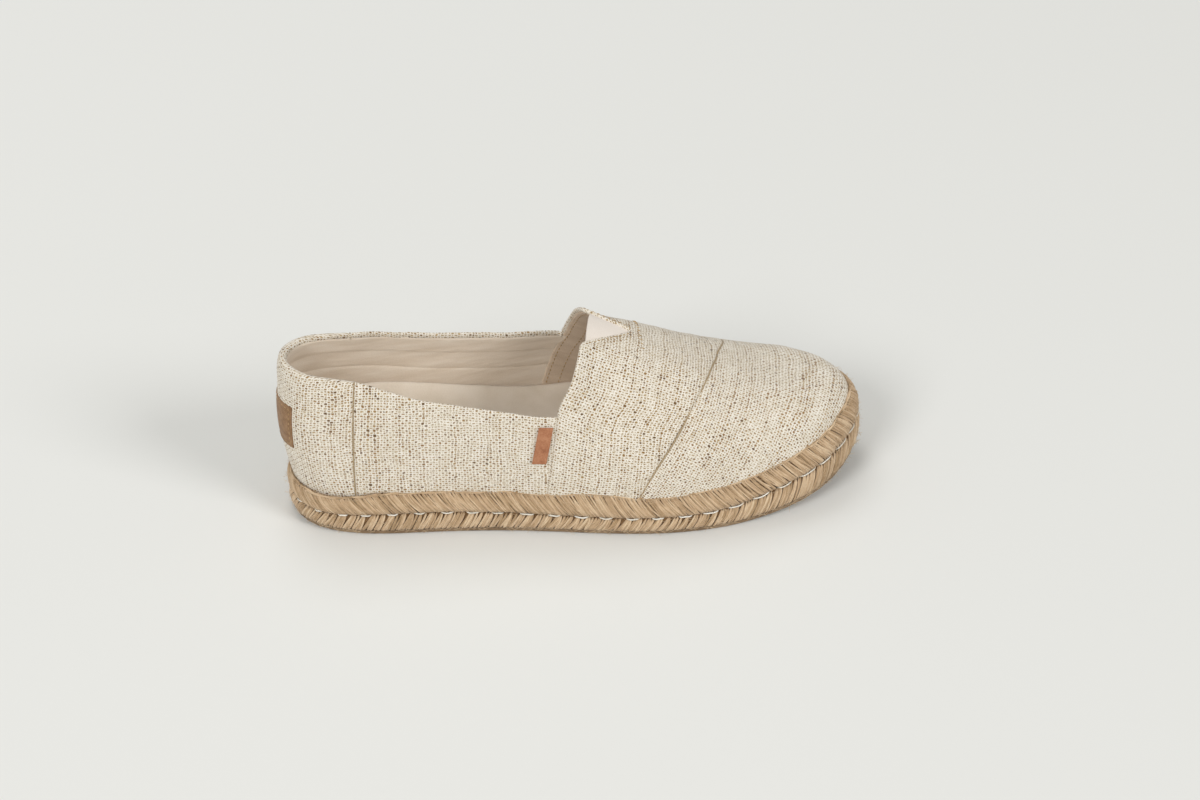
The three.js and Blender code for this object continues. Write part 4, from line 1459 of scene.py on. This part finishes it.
# %% Gaps that open and close
# a hole can open wherever a gap between warps meets a gap between wefts
gap_u = add_node(tree, "Math", (swing(tree, u, YARN, QUARTER), 1.8), operation="POWER")
gap_v = add_node(tree, "Math", (swing(tree, v, PICK, QUARTER), 1.1), operation="POWER")
hole = add_node(tree, "Math", (gap_u, gap_v), operation="MULTIPLY")
at_u = add_node(tree, "Math", (u, YARN / 2), operation="ADD")
at_v = add_node(tree, "Math", (v, PICK / 2), operation="ADD")
count_u = count_yarns(tree, at_u, YARN)
count_v = count_yarns(tree, at_v, PICK)
column_open = chance(tree, count_u, 0.0, 3.0)
row_open = chance(tree, count_v, 0.0, 5.0)
each_open = chance(tree, count_u, count_v, 7.0)
# each yarn leans on its neighbour where they cross, so every second gap closes
odd_u = add_node(tree, "Math", (count_u, 1.0), operation="PINGPONG")
odd_v = add_node(tree, "Math", (count_v, 1.0), operation="PINGPONG")
differ = add_node(tree, "Math", (odd_u, odd_v), operation="SUBTRACT")
stays_open = add_node(tree, "Math", (differ,), operation="ABSOLUTE")
shut = add_node(tree, "Math", (1.0, stays_open), operation="SUBTRACT")
closes = add_node(tree, "Math", (shut, hole), operation="MULTIPLY")
yarns = weighted(tree, yarns, (closes, 0.28))
# the cloth runs in bands along the warp, some close and some open
bands = streaked(tree, moved, (0.16, 0.012))
loose = add_node(tree, "Attribute", out="Fac", attribute_name="openness")
openings = weighted(tree, -0.4, (hole, 1.0), (stays_open, 0.34), (column_open, 0.5), (row_open, 0.14),
                    (each_open, 0.44), (bands, 0.8), (loose, 1.0))
hole_mask = add_node(tree, "MapRange", {"Value": openings, "From Min": 1.31, "From Max": 1.66})

# %% Colour and relief of the weave
# slubs: each yarn thickens and thins along its length, in both directions
slub_warp = streaked(tree, moved, (0.9, 0.12))
slub_weft = streaked(tree, moved, (0.16, 0.8))
lint = add_node(tree, "TexNoise", {"Vector": plan, "Scale": 3.2, "Detail": 3.0})
# the yarns' round backs are painted lighter and the spaces between them darker: painted shade; slubs and
# lint vary the tone along the yarns
shade = weighted(tree, -0.48, (slub_warp, 0.24), (slub_weft, 0.24), (lint, 0.36), (yarns, 0.8))
yarn_tone_and_shade = add_node(tree, "ValToRGB", (shade,), stops=[
    (0.16, "#93794F"), (0.36, "#BBAA8E"), (0.53, "#DFD7C9"), (0.74, "#F1EDE6")])
# holes show the tan behind the cloth, painted darker as shade inside the gap
hole_tone_and_shade = add_node(tree, "ValToRGB", (each_open,), stops=[
    (0.0, "#B59A6E"), (0.5, "#A08252"), (0.85, "#8A6633"), (1.0, "#614621")])
colour = add_node(tree, "Mix", {"Factor": hole_mask, "A": yarn_tone_and_shade, "B": hole_tone_and_shade},
                  out="Result", data_type="RGBA")
height = weighted(tree, yarns, (lint, 0.25), (hole_mask, -0.45))
surface(tree, shader, colour, height, 0.8, 0.0003)
print("weave: warp every", YARN, "mm, weft every", PICK, "mm")

# %% [markdown]
# ## Twill, suede and elastic
# The lining and facing are plain-dyed cotton twill with fine slanting ribs.
# The insole's suede has a short nap that catches light as a soft cloudiness.
# The elastic is covered with fine thread, in close ribs across its stretch.

# %% Lining and facing twill
def twill(name, dark, middle, light, line=0.75):
    """Plain-dyed cotton twill: slanting ribs line mm apart, soft creases, faint shading."""
    material, tree, shader = new_material(name, 0.9, Sheen_Weight=0.2, Specular_IOR_Level=0.25)
    plan = add_node(tree, "UVMap", uv_map="cloth")
    slanted = add_node(tree, "Mapping", {"Vector": plan, "Rotation": (0, 0, math.radians(35))})
    ribs = add_node(tree, "TexWave", {"Vector": slanted, "Scale": 0.5 / line, "Distortion": 0.6,
                                      "Detail": 1.0}, out="Fac", wave_type="BANDS")
    crease = streaked(tree, plan, (0.035, 0.22), 3.0, 0.55)
    lint = add_node(tree, "TexNoise", {"Vector": plan, "Scale": 1.6, "Detail": 4.0})
    # the colour darkens in the creases' troughs and between the ribs: painted shade; the lint noise varies
    # the tone at random
    shade = weighted(tree, 0.0, (crease, 0.6), (lint, 0.3), (ribs, 0.12))
    colour = add_node(tree, "ValToRGB", (shade,), stops=[(0.25, dark), (0.5, middle), (0.75, light)])
    fine = add_node(tree, "Bump", {"Strength": 0.5, "Distance": 0.00012, "Height": ribs})
    surface(tree, shader, colour, crease, 0.7, 0.0006, under=fine)
    return material


lining_twill = twill("beige cotton twill lining", "#C8B7A2", "#D9CAB8", "#E6DBCC")
facing_twill = twill("taupe twill facing tape", "#AB957D", "#C6B29C", "#D6C5B1", line=1.1)

# %% Suede insole
suede, tree, shader = new_material("pale suede, short nap", 0.97, Sheen_Weight=0.35,
                                   Sheen_Roughness=0.5, Specular_IOR_Level=0.15)
plan = add_node(tree, "UVMap", uv_map="cloth")
cloud = add_node(tree, "TexNoise", {"Vector": plan, "Scale": 0.06, "Detail": 4.0})
nap = add_node(tree, "TexNoise", {"Vector": plan, "Scale": 1.8, "Detail": 5.0, "Roughness": 0.7})
colour = add_node(tree, "ValToRGB", (weighted(tree, 0.0, (cloud, 0.6), (nap, 0.4)),),
                  stops=[(0.3, "#D5C8B5"), (0.5, "#E2D6C6"), (0.7, "#ECE2D5")])
surface(tree, shader, colour, nap, 0.5, 0.00015)

# %% Elastic
elastic, tree, shader = new_material("covered elastic, fine ribs", 0.8,
                                     Sheen_Weight=0.2, Specular_IOR_Level=0.3)
plan = add_node(tree, "UVMap", uv_map="cloth")
ribs = add_node(tree, "TexWave", {"Vector": plan, "Scale": 0.45, "Distortion": 0.25, "Detail": 1.0},
                out="Fac", wave_type="BANDS", bands_direction="X")
knit = add_node(tree, "TexNoise", {"Vector": plan, "Scale": 2.2, "Detail": 3.0})
# the colour darkens between the ribs: painted shade; the knit noise varies the tone at random
colour = add_node(tree, "ValToRGB", (weighted(tree, 0.0, (knit, 0.7), (ribs, 0.25)),),
                  stops=[(0.2, "#DCCFC3"), (0.5, "#E8DED4"), (0.8, "#F1EAE1")])
surface(tree, shader, colour, ribs, 0.35, 0.0001)

# %% [markdown]
# ## Jute and thread
# Spun fibre shows fine streaks along each strand, and no two strands have
# quite the same tone. Thread also shows its twist, as slanting plies.

# %% Jute, threads, and the bed behind them, painted dark as shade
def fibre_finish(name, stops, along, across=1.0, roughness=0.9, depth=0.0002, twist=None):
    """Spun fibre: streaks along and across each strand per mm; twist is a ply's length in mm."""
    material, tree, shader = new_material(name, roughness, Sheen_Weight=0.2, Specular_IOR_Level=0.25)
    strand = add_node(tree, "Attribute", out="Vector", attribute_name="fibre")
    tint = add_node(tree, "Attribute", out="Fac", attribute_name="tint")
    height = streaks = streaked(tree, strand, (across, along), 3.0, 0.65)
    place = add_node(tree, "TexCoord", out="Object")
    mottle = add_node(tree, "TexNoise", {"Vector": place, "Scale": 220.0, "Detail": 3.0})
    shade = weighted(tree, -0.03, (streaks, 0.56), (tint, 0.3), (mottle, 0.24))
    if twist:
        turned = add_node(tree, "Mapping", {"Vector": strand, "Rotation": (0, 0, math.radians(40))})
        height = add_node(tree, "TexWave", {"Vector": turned, "Scale": 0.5 / twist, "Distortion": 0.4},
                          out="Fac", wave_type="BANDS")
        # the colour is painted darker between the plies: painted shade
        shade = weighted(tree, 0.0, (shade, 0.8), (height, 0.25))
    surface(tree, shader, add_node(tree, "ValToRGB", (shade,), stops=stops), height, 0.8, depth)
    return material


jute = fibre_finish("natural jute yarn", [
    (0.26, "#8F7451"), (0.42, "#AE9271"), (0.56, "#C2A686"), (0.74, "#DAC3A3")], 0.3, across=2.6)
jute_hair = fibre_finish("loose jute hair", [
    (0.3, "#B79A76"), (0.6, "#D5BD9B"), (0.8, "#E6D5B8")], 0.3)
cotton_thread = fibre_finish("waxed white cotton thread", [
    (0.2, "#CFC6B4"), (0.5, "#EDE7DA"), (0.8, "#FAF7F0")], 0.5, twist=0.9, depth=0.0001)
tan_thread = fibre_finish("tan polyester thread", [
    (0.2, "#8D6B40"), (0.5, "#B2915F"), (0.8, "#CFB186")], 0.6, roughness=0.7, twist=0.6, depth=0.00008)
# the seam line's browns are thread and cut yarns, darkened as painted shade of the valley
seam_thread_and_shade = fibre_finish("seam thread and cut yarns, darkened as valley shade", [
    (0.25, "#7F6849"), (0.5, "#A38A66"), (0.75, "#C9B797")], 0.6, twist=1.3, depth=0.0001)

bed, tree, shader = new_material("jute bed, painted dark as shade", 0.95)
place = add_node(tree, "TexCoord", out="Object")
mottle = add_node(tree, "TexNoise", {"Vector": place, "Scale": 700.0, "Detail": 4.0})
# the bed's dark browns are painted shade, seen in the gaps between the strands
colour = add_node(tree, "ValToRGB", (mottle,), stops=[(0.3, "#5F452B"), (0.7, "#8A6A46")])
surface(tree, shader, colour, mottle, 0.7, 0.0003)

# %% [markdown]
# ## Rubber, leather and canvas
# Crepe rubber is matt with a fine pebble. The tab's split leather is waxed and
# a little cloudy. The heel patch is coarse cotton canvas, worn paler in places.

# %% Rubber, leather and the patch
rubber, tree, shader = new_material("tan crepe rubber", 0.72, Specular_IOR_Level=0.4)
place = add_node(tree, "TexCoord", out="Object")
dust = add_node(tree, "TexNoise", {"Vector": place, "Scale": 90.0, "Detail": 5.0})
pebble = add_node(tree, "TexVoronoi", {"Vector": place, "Scale": 420.0})
colour = add_node(tree, "ValToRGB", (dust,), stops=[
    (0.3, "#6F5A43"), (0.55, "#866F55"), (0.75, "#9C866B")])
surface(tree, shader, colour, pebble, 0.45, 0.0003)

leather, tree, shader = new_material("tan split leather, waxed", 0.55, Specular_IOR_Level=0.4,
                                     Coat_Weight=0.06, Coat_Roughness=0.4)
place = add_node(tree, "TexCoord", out="Object")
pores = add_node(tree, "TexVoronoi", {"Vector": place, "Scale": 1500.0})
cloud = add_node(tree, "TexNoise", {"Vector": place, "Scale": 260.0, "Detail": 4.0})
colour = add_node(tree, "ValToRGB", (weighted(tree, 0.0, (cloud, 0.75), (pores, 0.25)),),
                  stops=[(0.28, "#885337"), (0.48, "#A36B4A"), (0.7, "#B37E5C")])
surface(tree, shader, colour, pores, 0.4, 0.0001)

CANVAS_PITCH = 0.9    # mm between the canvas's yarns
patch_cloth, tree, shader = new_material("brown cotton canvas", 0.9,
                                         Sheen_Weight=0.2, Specular_IOR_Level=0.25)
plan = add_node(tree, "UVMap", uv_map="cloth")
u, v = add_node(tree, "SeparateXYZ", (plan,), out=slice(2))
backs = (swing(tree, u, CANVAS_PITCH), swing(tree, v, CANVAS_PITCH))
yarns = add_node(tree, "Math", backs, operation="MAXIMUM")
wear = add_node(tree, "TexNoise", {"Vector": plan, "Scale": 0.4, "Detail": 5.0})
# the yarns' backs are painted lighter and the spaces between them darker: painted shade; the wear noise
# pales the canvas at random
colour = add_node(tree, "ValToRGB", (weighted(tree, 0.0, (yarns, 0.45), (wear, 0.6)),),
                  stops=[(0.35, "#5C4128"), (0.62, "#876442"), (0.9, "#A58360")])
surface(tree, shader, colour, yarns, 0.6, 0.00025)

# %% [markdown]
# ## Each piece gets its finish
# A piece is given its material and the body it rides on, and the CAD node it
# stands for is hidden. The outsole keeps its CAD shape and only gets its rubber.

# %% Finish every piece
for piece in (heel_panel, *side_panels.values(), instep_panel, toe_panel):
    finish(piece, woven, "upper")
for piece in (lining, lining_vamp):
    finish(piece, lining_twill, "upper")
for piece in facings.values():
    finish(piece, facing_twill, "upper")
finish(seam_threads, seam_thread_and_shade, "upper")
finish(fine_stitches, tan_thread, "upper")
finish(insole, suede, "insole")
finish(gore, elastic, "gore")
finish(upper_strands, jute, "jute_foxing")
finish(fuzz, jute_hair, "jute_foxing")
finish(lower_strands, jute, "jute_sole")
finish(rope_core, bed, "jute_sole")
finish(sole_stitches, cotton_thread, "jute_sole")
finish(side_tab, leather, "side_tag")
finish(heel_patch, patch_cloth, "heel_patch")
finish(patch_stitches, tan_thread, "heel_patch")
outsole = bpy.data.objects["outsole"]
outsole.data.materials.clear()
outsole.data.materials.append(rubber)

# %% [markdown]
# ## Floor and light
# A pale sheet of paper, two large soft boxes on the camera's side and a weak
# one behind that opens the shadows. A white room stands around them, so the
# shadows stay soft and short.

# %% Floor
paper, tree, shader = new_material("pale matt paper", 0.9, Specular_IOR_Level=0.2)
place = add_node(tree, "TexCoord", out="Object")
tone = add_node(tree, "TexNoise", {"Vector": place, "Scale": 1.5, "Detail": 2.0})
x, y = add_node(tree, "SeparateXYZ", (place,), out=slice(2))
# painted light: the sheet is painted lighter towards the back and the left, where more light would fall
back = add_node(tree, "MapRange", {
    "Value": weighted(tree, y, (x, -0.3)), "From Min": -0.3, "From Max": 1.4})
shade = weighted(tree, 0.0, (back, 0.9), (tone, 0.1))
colour = add_node(tree, "ValToRGB", (shade,), stops=[
    (0.0, "#E1E1DE"), (0.35, "#E8E8E5"), (1.0, "#F8F8F6")])
tree.links.new(colour, shader.inputs["Base Color"])
nothing_selected()
bpy.ops.mesh.primitive_plane_add(size=8)
floor = bpy.context.object
floor.name = "floor"
floor.data.materials.append(paper)


# %% Light
def soft_box(name, place, size, power, target=(0.0, 0.0, 0.03)):
    data = bpy.data.lights.new(name, "AREA")
    data.shape = "DISK"
    data.size = size
    data.energy = power
    lamp = bpy.data.objects.new(name, data)
    lamp.location = place
    bpy.context.scene.collection.objects.link(lamp)
    aim(lamp, target)


soft_box("soft_box_front_left", (-1.9, -2.1, 1.95), 1.4, 55)
soft_box("soft_box_front_right", (2.1, -1.9, 1.85), 1.4, 47)
soft_box("soft_box_back", (-0.4, 1.6, 3.0), 1.8, 24, target=(-0.2, 0.6, 0.0))
room = bpy.data.worlds.new("room")
bpy.context.scene.world = room
room.use_nodes = True
background = room.node_tree.nodes["Background"]
background.inputs["Color"].default_value = linear("#F4F4EF")
background.inputs["Strength"].default_value = 0.4
